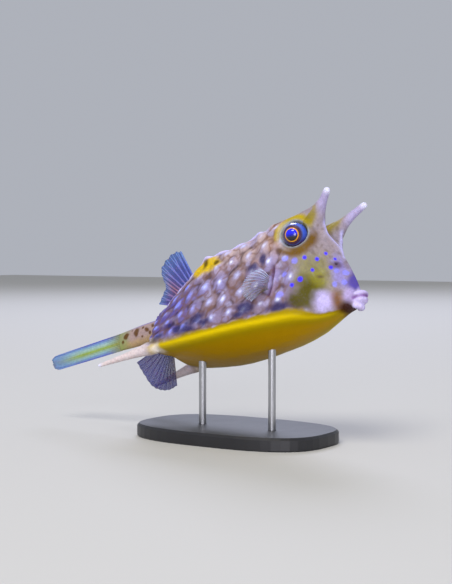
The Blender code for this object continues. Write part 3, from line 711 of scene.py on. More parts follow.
# %% [markdown]
# ## Markings
#
# Each plate has a pale or blue middle in a brown and mauve network, the belly is yellow below a
# soft edge, and small blue dots lie on the cheek. Some marks are painted light and shade:
# highlights on the plates, the ridges and the keel, and shade on the lower belly, in the lips'
# crease, the gill slit and the nostril. A painted picture would need the folded body laid out flat.
# Here each marking is a field instead, one number for each point of the skin, made from distances,
# plates and noise, so it follows the form and bakes with it.

# %% Spots and blotches, placed on the left and mirrored
BLUE_SPOTS = (
    # the vivid dots of the cheek and the snout: place and radius
    (62.6, 8.5, 11.7, 1.05),
    (59.0, 11.6, 8.3, 1.1),
    (65.9, 5.5, 8.5, 0.85),
    (54.7, 16.5, 8.8, 1.15),
    (57.2, 13.6, 2.2, 0.95),
    (51.9, 17.2, -2.5, 1.45),
    (47.5, 18.1, -4.9, 1.1),
    (64.7, 8.0, 3.6, 1.2),
)
PALE_SPOTS = (
    # softer blue spots between them
    (66.2, 7.6, -5.9, 1.6),
    (49.3, 17.6, 7.9, 1.7),
    (44.3, 18.5, 10.6, 1.6),
    (70.4, 5.5, -5.1, 1.5),
    (67.2, 6.4, 1.9, 1.5),
    (43.6, 18.6, 1.8, 1.4),
    (40.9, 20.1, -8.9, 2.0),
    (70.6, 3.6, 0.4, 1.6),
)
BLOTCHES = (
    # dark smoky patches along the lower flank and on the back: place and half sizes
    ((-8.6, 25.0, -11.5), (5.4, 9, 3.6)),
    ((-3.4, 25.4, -14.8), (4.4, 9, 2.2)),
    ((-13.5, 25.7, -16.6), (5.8, 9, 2.4)),
    ((-20.5, 24.5, -13.8), (3.2, 9, 2.2)),
    ((22.1, 23.2, -11.5), (4.6, 9, 3.8)),
    ((17.5, 23.8, -15.2), (4.0, 9, 1.8)),
    ((40.0, 19.0, -15.6), (5.4, 9, 2.8)),
    ((-27.5, 22.0, -10.0), (3.4, 9, 2.0)),
    ((-35.0, 20.0, -14.5), (3.0, 9, 1.6)),
    ((24.6, 19.5, 10.3), (3.4, 6, 2.4)),
    ((30.2, 18.3, 13.6), (1.6, 6, 3.2)),
)
STALK_SPOTS = (
    (-66.8, 3.4, 0.8, 2.3),
    (-74.5, 2.6, 0.6, 2.1),
    (-58.8, 4.0, 0.4, 1.5),
    (-62.0, 3.8, 2.9, 1.1),
    (-54.4, 4.3, 2.2, 1.4),
    (-56.4, 4.1, -2.2, 1.0),
    (-70.4, 3.2, 3.0, 1.0),
    (-51.6, 4.6, -0.2, 1.1),
    (-62.6, 3.8, -2.9, 0.8),
    (-77.6, 2.4, -2.6, 1.1),
)
wave = wander(skin_points, 6.0, 3)
fine = wander(skin_points, 2.6, 4)
drift = wander(skin_points, 5.0, 7)
cloud = wander(skin_points, 11.0, 9)
threads = wander(skin_points, 6.5, 11) + 0.35 * fine
print("noise of the skin from", wave.min().round(2), "to", wave.max().round(2))


def patch(centre, radius, rough=0.35, soft=0.3):
    """Ellipse whose edge is broken up, and short or long as soft is small or large."""
    d = np.sqrt((((folded - np.asarray(centre)) / np.asarray(radius)) ** 2).sum(-1))
    return ramp(1 + soft, 1 - soft, d + rough * wave + 0.5 * rough * fine)


def patches(*rows):
    return np.max([patch(*row) for row in rows], axis=0)


def round_spots(spots, rough=0.0):
    """Dots whose middle is full and whose edge is short."""
    far = [np.linalg.norm(folded - row[:3], axis=1) / row[3] for row in spots]
    return ramp(1.2, 0.7, np.min(far, axis=0) + rough * fine)


# %% Regions that several markings share
eye_ring = off_axis - EYE_R + 20 * (out_of_eye < -3)  # distance from the eye's rim, only outside
ahead_of_eye, _, above_eye = unit(folded - EYE_AT).T
upper_edge = ramp(-0.15, 0.3, 0.95 * above_eye - 0.3 * ahead_of_eye + 0.12 * wave)
low_edge = ramp(0.2, 0.75, 0.35 * ahead_of_eye - 0.9 * above_eye + 0.15 * wave)
face = ramp(45.5, 53.5, X + 0.22 * Z + 0.8 * wave)
cheek = patch((40.0, 18.0, 2.0), (9.0, 10.0, 15.0), 0.2, 0.4)
under_cheek = patch((52.0, 14.0, -11.5), (8.5, 14, 7.0), 0.3, 0.4)
plated = on_body * (1 - 0.95 * face) * (1 - under_cheek)
from_middle = plate_round + 0.13 * fine + 0.08 * wave
to_groove = 0.55 * plate_edge + 0.45 * plate_round + 0.16 * fine + 0.08 * wave
lot = np.mod(plate_tone * 7.31 + 0.37, 1.0)  # a second draw for each plate
rearward = ramp(2.0, -16.0, X + 3 * wave)
blur = 0.8 + 3.2 * ramp(0.0, 40.0, -X)  # half width of the yellow's edge
yellow_line = below_line - 3.4 * ramp(40.0, 62.0, X)
yellow = ramp(-blur, blur, yellow_line + 0.8 * wave + 0.4 * fine)
yellow *= ramp(-46.0, -36.0, X + 2.0 * wave + 9.0 * ramp(17.0, 7.0, Y)) * ramp(71.0, 67.0, X)
# painted highlight: a bright yellow band just below the keel's edge stands in for the light on the
# keel's rim
keel_highlight_width = 6.5 - 3.7 * ramp(4.0, 8.0, below_line)
keel = ramp(0.4, 3.4, yellow_line) * bell(to_keel, keel_highlight_width)
keel *= ramp(-46.0, -38.0, X) * ramp(66.0, 60.0, X)
behind_horn = ramp(-2.0, 2.5, 62.5 - X + 0.62 * (Z - 33) + 1.2 * wave)
on_stalk = ramp(-48.6, -53.0, X + 0.9 * wave)
# painted highlight: pale lines along the brow ridge, the horns' foot and the face ridge stand in
# for the light on these edges
brow_line = bell(to_brow, 1.1) * ramp(-46, -38, X) * ramp(36, 28, X)
foot_line = bell(to_foot, 1.3) * ramp(33, 40, X)
ridge_highlights = np.max([brow_line, foot_line, bell(to_face_ridge, 1.3)], axis=0)
print("yellow share of the skin:", yellow.mean().round(2))

# %% Markings of the plates, in the order in which all markings lie over one another
LAYERS = []


def mark(name, full, strength, broken, where):
    """Full colour, strength, how far the shader's noise breaks the edge, and the field."""
    write_field(skin_mesh, name, where)
    LAYERS.append((name, full, strength, broken))


write_field(skin_mesh, "tone", plate_tone)
mark("tan", "#c2aaa2", 0.8, 0.3, ramp(4, 26, Z + 6 * cloud) * ramp(52, 40, X))
amber = ramp(0.10, 0.5, cloud + 0.3 * fine) * ramp(4, 16, Z) * ramp(46, 36, X)
mark("amber", "#9c6c3c", 0.5, 0.5, amber)
rear = ramp(0, -28, X + 6 * wave) * ramp(-19, -12, Z) * (1 - 0.6 * ramp(4, 16, Z))
mark("rear", "#564a98", 0.9, 0.4, rear)
mark("smoke", "#5a4048", 0.42, 0.5, ramp(0.05, 0.6, drift + 0.3 * fine) * (1 - 0.6 * face))
print("layers of the ground:", len(LAYERS))

# %% Markings of the face and the cheek
mark("face", "#978a8c", 0.9, 0.25, face)
fleck = ramp(0.05, 0.45, fine + 0.4 * wave) * np.maximum(face, ramp(0.1, 0.3, horn_share))
mark("fleck", "#66563c", 0.45, 0.5, fleck)
mark("sage", "#7f7c36", 0.75, 0.4, patch((57.5, 13.0, -1.0), (8.5, 14, 11.0), 0.35, 0.7))
olive = patches(
    ((55.4, 14.0, -9.0), (6.4, 14, 7.0), 0.35, 0.6),
    ((50.0, 15.5, -14.0), (6.6, 14, 4.4), 0.35, 0.6),
)
mark("olive", "#4e4800", 0.95, 0.4, olive)
mark("leaf", "#8a8614", 0.6, 0.5, patch((59.6, 11.6, -2.4), (3.2, 6, 4.6), 0.5, 0.7))
mark("pale_chin", "#c4b8ee", 0.92, 0.2, patch((61.0, 10.7, -14.8), (4.0, 9, 4.8), 0.45, 0.8))
mark("lilac", "#8a80cc", 0.7, 0.5, patch((68.6, 5.2, 2.0), (4.0, 6, 8.5), 0.5, 0.7))
print("olive share of the skin:", olive.mean().round(3))

# %% Grooves and middles of the plates, with painted highlights, and the dark blotches over them
groove = plated * ramp(0.50, 0.96, to_groove) * (0.35 + 0.65 * ramp(-0.35, 0.35, drift))
mark("groove", "#664c48", 0.6, 0.6, groove)
cleft = plated * ramp(0.80, 1.05, plate_round + 0.2 * fine) * ramp(-0.25, 0.3, wave)
mark("cleft", "#3a241c", 0.7, 0.6, cleft)
mark("veil", "#bcb8e4", 0.46, 0.5, plated * ramp(0.15, 0.6, drift) * (1 - 0.6 * rearward))
web = plated * ramp(0.2, 0.02, np.abs(threads)) * ramp(0.3, 0.7, from_middle + 0.2)
mark("web", "#70503e", 0.6, 0.5, web)
# pale middle of each plate, partly its own colour and partly a painted highlight of the wet skin
pale_middle_and_highlight = plated * ramp(0.56, 0.06, from_middle) * np.maximum(0.35 + 0.65 * lot, cheek)
mark("pale_middle_and_highlight", "#b9bdf4", 0.9, 0.3, pale_middle_and_highlight)
# painted highlight: a small near-white spot at each plate's middle stands in for the wet skin's
# shine
painted_plate_highlight = plated * ramp(0.26, 0.02, from_middle) * (1 - rearward) * (1 - 0.7 * ramp(16, 26, Z))
mark("painted_plate_highlight", "#f4f7ff", 0.95, 0.2, painted_plate_highlight * np.maximum(0.25 + 0.75 * plate_tone, cheek))
spark = plated * ramp(0.42, 0.08, from_middle) * rearward * (0.3 + 0.7 * lot)
mark("spark", "#6a74f6", 0.85, 0.3, spark)
mark("blotch", "#2b2958", 0.88, 0.5, patches(*[(*row, 0.6, 0.65) for row in BLOTCHES]))
print("pale middles' share of the skin:", pale_middle_and_highlight.mean().round(3))

# %% Markings round the eye, of the hump and of the horns
mark("brow_yellow", "#b09a00", 0.95, 0.35, ramp(5.4, 3.0, eye_ring + 0.8 * wave) * upper_edge)
ochre = ramp(7.6, 4.2, eye_ring + 0.9 * wave) * low_edge * (1 - upper_edge)
mark("ochre", "#6a4c00", 0.95, 0.35, ochre)
mark("lid", "#8f9aa8", 0.85, 0.1, bell(eye_ring - 0.5, 0.9))
lid_rim = bell(eye_ring - 2.4, 1.0) * ramp(0.0, 0.6, -ahead_of_eye - 0.2 * above_eye)
mark("lid_rim", "#cfc6cc", 0.3, 0.2, lid_rim)
mark("hump", "#cfae00", 0.96, 0.4, patch((-9.2, 14.0, 21.2), (9.4, 8, 5.6), 0.4, 0.3))
hump_dark = patches(
    ((-8.6, 13.8, 22.4), (1.9, 4, 3.4), 0.5, 0.6),
    ((-1.0, 15.2, 21.4), (1.6, 4, 1.4), 0.5, 0.6),
)
mark("hump_dark", "#523f0a", 0.9, 0.4, hump_dark)
horn_root = ramp(0.08, 0.25, horn_share) * ramp(0.74, 0.52, horn_share) * behind_horn
mark("horn_root", "#8f7f1c", 0.9, 0.4, horn_root)
horn_pale = ramp(0.36, 0.66, horn_share) * (1 - 0.8 * behind_horn * ramp(0.76, 0.56, horn_share))
mark("horn", "#aaa0c6", 0.95, 0.2, horn_pale)
# painted highlight along the ridges
mark("ridge", "#cbc6ff", 0.85, 0.2, ridge_highlights)
print("layers so far:", len(LAYERS))

# %% Yellow belly and the root of the spines
mark("belly", "#998200", 1.0, 0.06, yellow)
# painted shade: lower on the belly, away from the keel, the yellow turns a deeper orange gold
mark("belly_painted_shade", "#b48800", 0.9, 0.0, ramp(4.0, 15.0, below_line) * (1 - bell(to_keel, 7.0)))
# painted highlight along the keel
mark("keel", "#d9bd00", 0.75, 0.05, keel)
mark("white_root", "#e4dcd8", 0.9, 0.3, patch((-38.0, 22.5, -21.6), (4.0, 6, 3.0), 0.4, 0.7))
mark("root_olive", "#50431a", 0.9, 0.45, patch((-43.0, 21.5, -16.0), (6.0, 7, 2.0), 0.45, 0.6))
print("layers with the belly:", len(LAYERS))

# %% Tail stalk, spines and tips
mark("stalk", "#a08a86", 1.0, 0.2, on_stalk)
mark("stalk_low", "#b2945a", 0.7, 0.35, on_stalk * ramp(-1.5, -5.5, Z + wave))
mark("stalk_top", "#6a6ec0", 0.7, 0.3, on_stalk * ramp(3.2, 5.2, Z))
mark("stalk_end", "#7f8f52", 0.85, 0.4, ramp(-70.0, -80.5, X + 2.5 * wave))
mark("stalk_blotch", "#583810", 0.92, 0.4, round_spots(STALK_SPOTS, 0.7) * (X < -50.5))
mark("rim_dark", "#452820", 0.7, 0.4, bell(X + 48.6, 1.3) * ramp(6.0, -1.0, Z))
mark("spine", "#d4c6c6", 0.96, 0.2, ramp(0.08, 0.3, spine_share) * ramp(-35, -43, X + 1.5 * wave))
tips = np.maximum(ramp(0.84, 0.97, horn_share), ramp(0.90, 0.98, spine_share))
mark("tip", "#dcdcf2", 0.9, 0.05, tips)
print("layers with the stalk:", len(LAYERS))

# %% Snout, mouth and dots
mark("snout", "#43359a", 0.88, 0.35, patch((75.4, 1.5, -5.0), (4.4, 5.0, 6.6), 0.3, 0.5))
mark("muzzle", "#aa9acb", 0.85, 0.3, patch((72.4, 5.0, -12.8), (3.4, 6, 4.0), 0.25, 0.5))
mark("cheek_brown", "#76480a", 0.85, 0.4, patch((66.6, 6.6, -15.2), (2.6, 5, 5.4), 0.4, 0.8))
mark("chin", "#341204", 0.95, 0.3, patch((69.4, 2.5, -17.8), (3.4, 6, 3.0), 0.35, 0.7))
mark("lips", "#cabeea", 0.95, 0.08, on_lips)
# painted shade in the crease between the folds of the upper lip
mark("lip_crease_shade", "#784890", 0.9, 0.1, bell(to_crease, 1.1))
mark("pale_blue", "#8688ff", 0.6, 0.35, round_spots(PALE_SPOTS, 0.5))
mark("blue", "#4638ff", 1.0, 0.1, round_spots(BLUE_SPOTS))
mark("slit_fold", "#a890b2", 0.4, 0.3, on_slit * bell(to_fold, 1.0))
# painted shade in the groove of the gill slit
mark("slit", "#512a44", 0.9, 0.1, on_slit * bell(to_slit, 0.9))
smudge = patches(
    ((66.8, 5.8, 4.6), (3.0, 4, 1.8), 0.5, 0.7),
    ((60.2, 9.5, -1.6), (1.6, 4, 0.9), 0.5, 0.7),
)
mark("smudge", "#4e3638", 0.7, 0.5, smudge)
# painted shade in the nostril's pit
mark("nostril", "#30201c", 0.9, 0.0, bell(to_nostril, 0.8))

skin_mesh.polygons.foreach_set("use_smooth", [True] * len(skin_mesh.polygons))
skin = new_object("skin", skin_mesh)
print("markings:", len(LAYERS))

# %% [markdown]
# ## Materials
#
# Each finish starts from what the real surface is. One function adds a node, and a few short
# ones name the nodes that come up again. Colours are sRGB hex values, turned to linear by one
# function.

# %% Colour and node helpers
MIX_FACTOR, MIX_A, MIX_B, MIX_RESULT = 0, 6, 7, 2  # sockets of a Mix node set to colours


def colour(text):
    """Linear colour of an sRGB hex value."""
    channels = [int(text[k : k + 2], 16) / 255 for k in (1, 3, 5)]
    return (*[c / 12.92 if c <= 0.04045 else ((c + 0.055) / 1.055) ** 2.4 for c in channels], 1.0)


def feed(tree, node, feeds):
    """Sets a node's inputs to values or links them to other nodes' outputs."""
    for key, value in feeds.items():
        if isinstance(value, bpy.types.NodeSocket):
            tree.links.new(value, node.inputs[key])
        else:
            node.inputs[key].default_value = value


def add(tree, kind, output, feeds=None, **settings):
    """Adds a node with its settings and links, and gives back the named output."""
    node = tree.nodes.new(kind)
    for key, value in settings.items():
        setattr(node, key, value)
    feed(tree, node, feeds or {})
    return node.outputs[output]


def attribute(tree, name):
    return add(tree, "ShaderNodeAttribute", "Fac", attribute_name=name)


def place_on(tree):
    return add(tree, "ShaderNodeTexCoord", "Object")


def noise_at(tree, place, scale, detail, roughness=0.5):
    feeds = {"Vector": place, "Scale": scale, "Detail": detail, "Roughness": roughness}
    return add(tree, "ShaderNodeTexNoise", "Fac", feeds)


def calc(tree, operation, *values, clamp=False):
    feeds = dict(enumerate(values))
    return add(tree, "ShaderNodeMath", 0, feeds, operation=operation, use_clamp=clamp)


def spread(tree, value, low, high):
    """Spreads a value from 0 to 1 over low to high."""
    feeds = {"Value": value, "To Min": low, "To Max": high}
    return add(tree, "ShaderNodeMapRange", "Result", feeds)


def rise_to(tree, value, start, end, top=1.0):
    """Smooth step that leaves 0 at start and reaches top at end."""
    feeds = {"Value": value, "From Min": start, "From Max": end, "To Max": top}
    return add(tree, "ShaderNodeMapRange", "Result", feeds, interpolation_type="SMOOTHSTEP")


def mix(tree, factor, a, b):
    feeds = {MIX_FACTOR: factor, MIX_A: a, MIX_B: b}
    return add(tree, "ShaderNodeMix", MIX_RESULT, feeds, data_type="RGBA")


def brighten(tree, base, value):
    return add(tree, "ShaderNodeHueSaturation", "Color", {"Color": base, "Value": value})


def bump(tree, height, strength, distance, **below):
    feeds = {"Height": height, "Strength": strength, "Distance": distance}
    return add(tree, "ShaderNodeBump", "Normal", {**feeds, **below})


def new_material(name):
    material = bpy.data.materials.new(name)
    material.use_nodes = True
    tree = material.node_tree
    return material, tree, tree.nodes["Principled BSDF"]


print("dark blue in linear light:", [round(c, 4) for c in colour("#2b2958")])

# %% [markdown]
# ## Skin
#
# Skin over bone is moist but hardly glossy, and light goes a little way into it. Two materials
# would meet in a seam, so one carries all markings: each layer mixes its colour over those below
# it, and a fine noise breaks its edge. The same noise varies the tone and the roughness.

# %% Wet skin over bone
PLATE_WARM = "#8a7680"
PLATE_COOL = "#8a82b4"


def wet_skin():
    """Fish skin over bone: moist, faintly translucent, with a fine pebble of its own."""
    material, tree, shader = new_material("wet fish skin over bone")
    place = place_on(tree)
    fleck = noise_at(tree, place, 900.0, 4.0, 0.6)
    base = mix(tree, attribute(tree, "tone"), colour(PLATE_WARM), colour(PLATE_COOL))
    for name, full, strength, broken in LAYERS:
        amount = attribute(tree, name)
        if broken:
            shaken = calc(tree, "MULTIPLY_ADD", fleck, broken * 2, -broken)
            amount = calc(tree, "ADD", amount, calc(tree, "MULTIPLY", shaken, amount), clamp=True)
        base = mix(tree, calc(tree, "MULTIPLY", amount, strength), base, colour(full))
    # the belly is smooth, so the fine mottle is weaker there
    contrast = spread(tree, attribute(tree, "belly"), 0.26, 0.05)
    swing = calc(tree, "MULTIPLY", calc(tree, "SUBTRACT", fleck, 0.5), 2.4)
    mottle = calc(tree, "MULTIPLY_ADD", swing, contrast, 1.0)
    feeds = {"Vector": place, "Scale": 1400.0}
    pebble = add(tree, "ShaderNodeTexVoronoi", "Distance", feeds, feature="SMOOTH_F1")
    pebbled = bump(tree, pebble, 0.25, 0.0002)
    finish = {
        "Base Color": brighten(tree, base, mottle),
        "Normal": bump(tree, fleck, 0.3, 0.0003, Normal=pebbled),
        "Roughness": spread(tree, fleck, 0.38, 0.58),
        "IOR": 1.4,
        "Coat Weight": 0.03,
        "Specular IOR Level": 0.07,
        "Coat Roughness": 0.2,
        "Subsurface Weight": 0.12,
        "Subsurface Radius": (1.0, 0.6, 0.5),
        "Subsurface Scale": 0.0012,
    }
    feed(tree, shader, finish)
    return material


skin.data.materials.append(wet_skin())
print("nodes of the skin's material:", len(skin.active_material.node_tree.nodes))

# %% [markdown]
# ## Horns and rear spines
#
# They are bone under the same skin. Each is cut from the wrapped mesh along the plane where the
# solids part, so the colour and the form run on across the cut.

# %% Cut the horns and the spines free
HORN_CUT = 0.55  # share of the spike's path
SPINE_CUT = 0.50
ON_PLANE = 1e-6


def island_of(start):
    """All vertices that edges join to a first one."""
    island, edge = set(), {start}
    while edge:
        island |= edge
        edge = {e.other_vert(v) for v in edge for e in v.link_edges} - island
    return island


def cut_off(whole, name, path, share):
    """Splits what lies past a share of the spike from the whole, and caps both."""
    k = int(round(share * (SPIKE_POINTS - 1)))
    point, end = Vector(to_world(path[k])), Vector(to_world(path[-1]))
    normal = Vector(TURN @ unit(path[k + 1] - path[k - 1]))
    reach = (end - point).length * 1.2
    bm = bmesh.new()
    bm.from_mesh(whole.data)
    near = [v for v in bm.verts if (v.co - point).length < reach]
    geom = {e for v in near for e in v.link_edges} | {f for v in near for f in v.link_faces}
    geom = list(geom | set(near))
    cut = bmesh.ops.bisect_plane(bm, geom=geom, plane_co=point, plane_no=normal, dist=1e-7)
    rim = [e for e in cut["geom_cut"] if isinstance(e, bmesh.types.BMEdge)]
    bmesh.ops.split_edges(bm, edges=rim)
    bm.verts.ensure_lookup_table()
    island = island_of(min(bm.verts, key=lambda v: (v.co - end).length))
    bmesh.ops.holes_fill(bm, edges=[e for e in bm.edges if e.is_boundary])
    bmesh.ops.triangulate(bm, faces=[f for f in bm.faces if len(f.verts) > 4])
    for f in bm.faces:
        faces_cut = abs(f.normal.dot(normal)) > 0.999
        if faces_cut and abs((f.verts[0].co - point).dot(normal)) < ON_PLANE:
            for e in f.edges:
                e.smooth = False
    free = bm.copy()
    bm.verts.index_update()
    free.verts.index_update()
    keep = {v.index for v in island}
    rest = [v for v in free.verts if v.index not in keep]
    bmesh.ops.delete(free, geom=rest, context="VERTS")
    bmesh.ops.delete(bm, geom=[v for v in bm.verts if v.index in keep], context="VERTS")
    bm.to_mesh(whole.data)
    mesh = whole.data.copy()
    free.to_mesh(mesh)
    bm.free()
    free.free()
    mesh.name = name
    return new_object(name, mesh)


pieces = []
for side, word in SIDES.items():
    horn = cut_off(skin, "horn_sheath_" + word, HORN_PATHS[side], HORN_CUT)
    pieces.append((horn, "horn", ["horn_" + word]))
    spine = cut_off(skin, "spine_sheath_" + word, SPINE_PATHS[side], SPINE_CUT)
    pieces.append((spine, "spine", ["rear_spine_" + word]))
pieces.append((skin, "skin", ["head", "carapace", "tail_stalk", "upper_lip", "lower_lip"]))
print("skin faces:", len(skin.data.polygons), "horn faces:", len(horn.data.polygons))

# %% [markdown]
# ## Eyes
#
# A boxfish's eye is a large ball that turns in its socket. The clear front shows a pupil with a
# thin gold rim, then a purple-brown iris. A painted reflection makes the pupil bright blue above
# and dark below, and the ball blue at its front and top and maroon behind.

# %% Eyeballs
PUPIL_ANGLE = 28.5  # degrees from the gaze, like the other angles of the eye
GOLD_ANGLE = 33.5
DIP_ANGLE = 38.0
IRIS_ANGLE = 47.0
EYE_RINGS = 64
EYE_SIDES = 72


def eye_profile(angle):
    """Radius of the eyeball at an angle from the gaze: the lens bulges, the iris sinks."""
    lens = 0.22 * ramp(PUPIL_ANGLE + 1, PUPIL_ANGLE - 8, angle)
    lip = 0.10 * bell(angle - GOLD_ANGLE + 1, 2.2)
    sunk = 0.12 * bell(angle - DIP_ANGLE, 6.0)
    edge = 0.10 * bell(angle - IRIS_ANGLE - 3, 3.0)
    return EYE_R - 0.25 + lens + lip - sunk + edge


def make_eye(side):
    angle = np.linspace(0, 180, EYE_RINGS)
    gaze = GAZE * (1, side, 1)
    top = unit(np.cross(np.cross(gaze, (0, 0, 1.0)), gaze))
    right = np.cross(gaze, top)
    turn = (np.arange(EYE_SIDES) * 2 * math.pi / EYE_SIDES)[None, :, None]
    a = np.radians(angle)[:, None, None]
    way = np.cos(a) * gaze + np.sin(a) * (np.cos(turn) * top + np.sin(turn) * right)
    points = np.asarray(mirrored(EYE_AT, side)) + way * eye_profile(angle)[:, None, None]
    faces = ring_faces(EYE_RINGS, EYE_SIDES, False)
    obj = make_object("eyeball_" + SIDES[side], to_world(points.reshape(-1, 3)), faces)
    write_field(obj.data, "angle", np.repeat(angle, EYE_SIDES))
    write_field(obj.data, "height", (way @ top).ravel())
    write_field(obj.data, "ahead", way[..., 0].ravel())
    turn_outwards(obj, 1e-6)
    obj.data.shade_smooth()
    return obj


def eye_material():
    """Glassy eye: colours by the angle from the gaze, painted reflections on its upper front, under
    a clear wet coat.
    """
    material, tree, shader = new_material("wet eye with a gold rimmed pupil")
    angle, height, ahead = (attribute(tree, name) for name in ("angle", "height", "ahead"))
    streak = noise_at(tree, place_on(tree), 1500.0, 3.0)
    wavy = calc(tree, "ADD", angle, calc(tree, "MULTIPLY_ADD", streak, 5.0, -2.5))
    # painted reflection: the pupil is bright blue above and near black below
    painted_reflection = rise_to(tree, height, -0.22, 0.2)
    base = mix(tree, painted_reflection, colour("#01010f"), colour("#0a12e8"))
    # painted reflection: the ball is blue at its front and top, maroon behind and below
    painted_reflection = rise_to(tree, calc(tree, "ADD", height, ahead), -0.3, 0.9)
    ball = mix(tree, painted_reflection, colour("#4c2850"), colour("#4263d8"))
    base = mix(tree, rise_to(tree, angle, PUPIL_ANGLE, PUPIL_ANGLE + 1), base, colour("#d8920c"))
    for start, run, shade in (
        (GOLD_ANGLE, 3.0, colour("#451c34")),
        (42.0, 6.0, colour("#2c1c58")),
        (IRIS_ANGLE, 5.0, colour("#4b5590")),
        (52.0, 7.0, ball),
        (88.0, 10.0, colour("#7c8478")),
    ):
        base = mix(tree, rise_to(tree, wavy, start, start + run), base, shade)
    finish = {"Base Color": base, "Roughness": 0.25, "IOR": 1.38}
    feed(tree, shader, {**finish, "Coat Weight": 1.0, "Coat Roughness": 0.03})
    return material


eye_finish = eye_material()
for side, word in SIDES.items():
    eye = make_eye(side)
    eye.data.materials.append(eye_finish)
    pieces.append((eye, "eye", ["eye_" + word]))
print("eyes made, radius mm:", EYE_R)

# %% [markdown]
# ## Fins
#
# A fin is a thin membrane held out by bony rays that fork towards their tips. The rays follow
# lines that are laid in the membrane, so Geometry Nodes can sweep a round profile along every
# line and thicken the membrane in the same tree. All fins share the tree.

# %% Geometry Nodes tree of a fin
MEMBRANE = 0.32  # mm
RAY_SIDES = 8
INPUTS = {
    "Geometry": "Geometry",
    "Membrane thickness": "Float",
    "Ray sides": "Int",
    "Ray scale": "Float",
    "Membrane finish": "Material",
    "Ray finish": "Material",
}


def join(tree, *meshes):
    joined = add(tree, "GeometryNodeJoinGeometry", "Geometry")
    for mesh in meshes:
        tree.links.new(mesh, joined.node.inputs["Geometry"])
    return joined


def fin_tree():
    tree = bpy.data.node_groups.new("fin from a membrane and ray lines", "GeometryNodeTree")
    for name, kind in INPUTS.items():
        tree.interface.new_socket(name, in_out="INPUT", socket_type="NodeSocket" + kind)
    tree.interface.new_socket("Geometry", in_out="OUTPUT", socket_type="NodeSocketGeometry")
    given = tree.nodes.new("NodeGroupInput").outputs

    def plant(kind, output, feeds, **settings):
        return add(tree, "GeometryNode" + kind, output, feeds, **settings)

    is_ray, girth = (
        plant("InputNamedAttribute", "Attribute", {"Name": name}, data_type="FLOAT")
        for name in ("is_ray", "girth")
    )
    feeds = {"A": is_ray, "B": 0.5}
    chosen = add(tree, "FunctionNodeCompare", "Result", feeds, operation="GREATER_THAN")
    feeds = {"Geometry": given["Geometry"], "Selection": chosen}
    lines = plant("SeparateGeometry", "Selection", feeds, domain="POINT")
    sheet = lines.node.outputs["Inverted"]

    # rays: a round profile swept along every line
    feeds = {"Resolution": given["Ray sides"], "Radius": 1.0}
    feeds = {
        "Curve": plant("MeshToCurve", "Curve", {"Mesh": lines}),
        "Profile Curve": plant("CurvePrimitiveCircle", "Curve", feeds),
        "Scale": calc(tree, "MULTIPLY", girth, given["Ray scale"]),
        "Fill Caps": True,
    }
    rays = plant("CurveToMesh", "Mesh", feeds)
    rays = plant("SetMaterial", "Geometry", {"Geometry": rays, "Material": given["Ray finish"]})

    # membrane: set back by half its thickness, raised by all of it and closed behind
    normal = plant("InputNormal", "Normal", {})
    half = calc(tree, "MULTIPLY", given["Membrane thickness"], -0.5)
    feeds = {0: normal, "Scale": half}
    back_off = add(tree, "ShaderNodeVectorMath", "Vector", feeds, operation="SCALE")
    sheet = plant("SetPosition", "Geometry", {"Geometry": sheet, "Offset": back_off})
    feeds = {"Mesh": sheet, "Offset Scale": given["Membrane thickness"], "Individual": False}
    raised = plant("ExtrudeMesh", "Mesh", feeds, mode="FACES")
    closed = join(tree, raised, plant("FlipFaces", "Mesh", {"Mesh": sheet}))
    web = plant("MergeByDistance", "Geometry", {"Geometry": closed, "Distance": 1e-7})
    web = plant("SetMaterial", "Geometry", {"Geometry": web, "Material": given["Membrane finish"]})

    smooth_fin = plant("SetShadeSmooth", "Geometry", {"Geometry": join(tree, rays, web)})
    real = plant("RealizeInstances", "Geometry", {"Geometry": smooth_fin})
    feed(tree, tree.nodes.new("NodeGroupOutput"), {"Geometry": real})
    return tree


FIN_TREE = fin_tree()
print("fin tree, nodes:", len(FIN_TREE.nodes))

# %% Membrane, ray lines and finish of a fin
COLUMNS_PER_RAY = 6
FIN_ROWS = 26
LINE_POINTS = 14
FORK_AT = 0.5  # share of the ray's length
FORK_SPREAD = 0.2  # share of the gap between two rays
BRANCHES = (
    # spread of the branch, start and end of its line
    (0.0, 0.0, FORK_AT),
    (FORK_SPREAD, FORK_AT - 0.02, 0.985),
    (-FORK_SPREAD, FORK_AT - 0.02, 0.985),
)


def line_at(line, share):
    """Point of a root or tip line, which runs straight on past its ends."""
    inside = np.clip(share, 0, 1)
    run = np.array(line[-1], float) - line[0]
    return spline(line, inside * (len(line) - 1)) + (share - inside)[..., None] * run


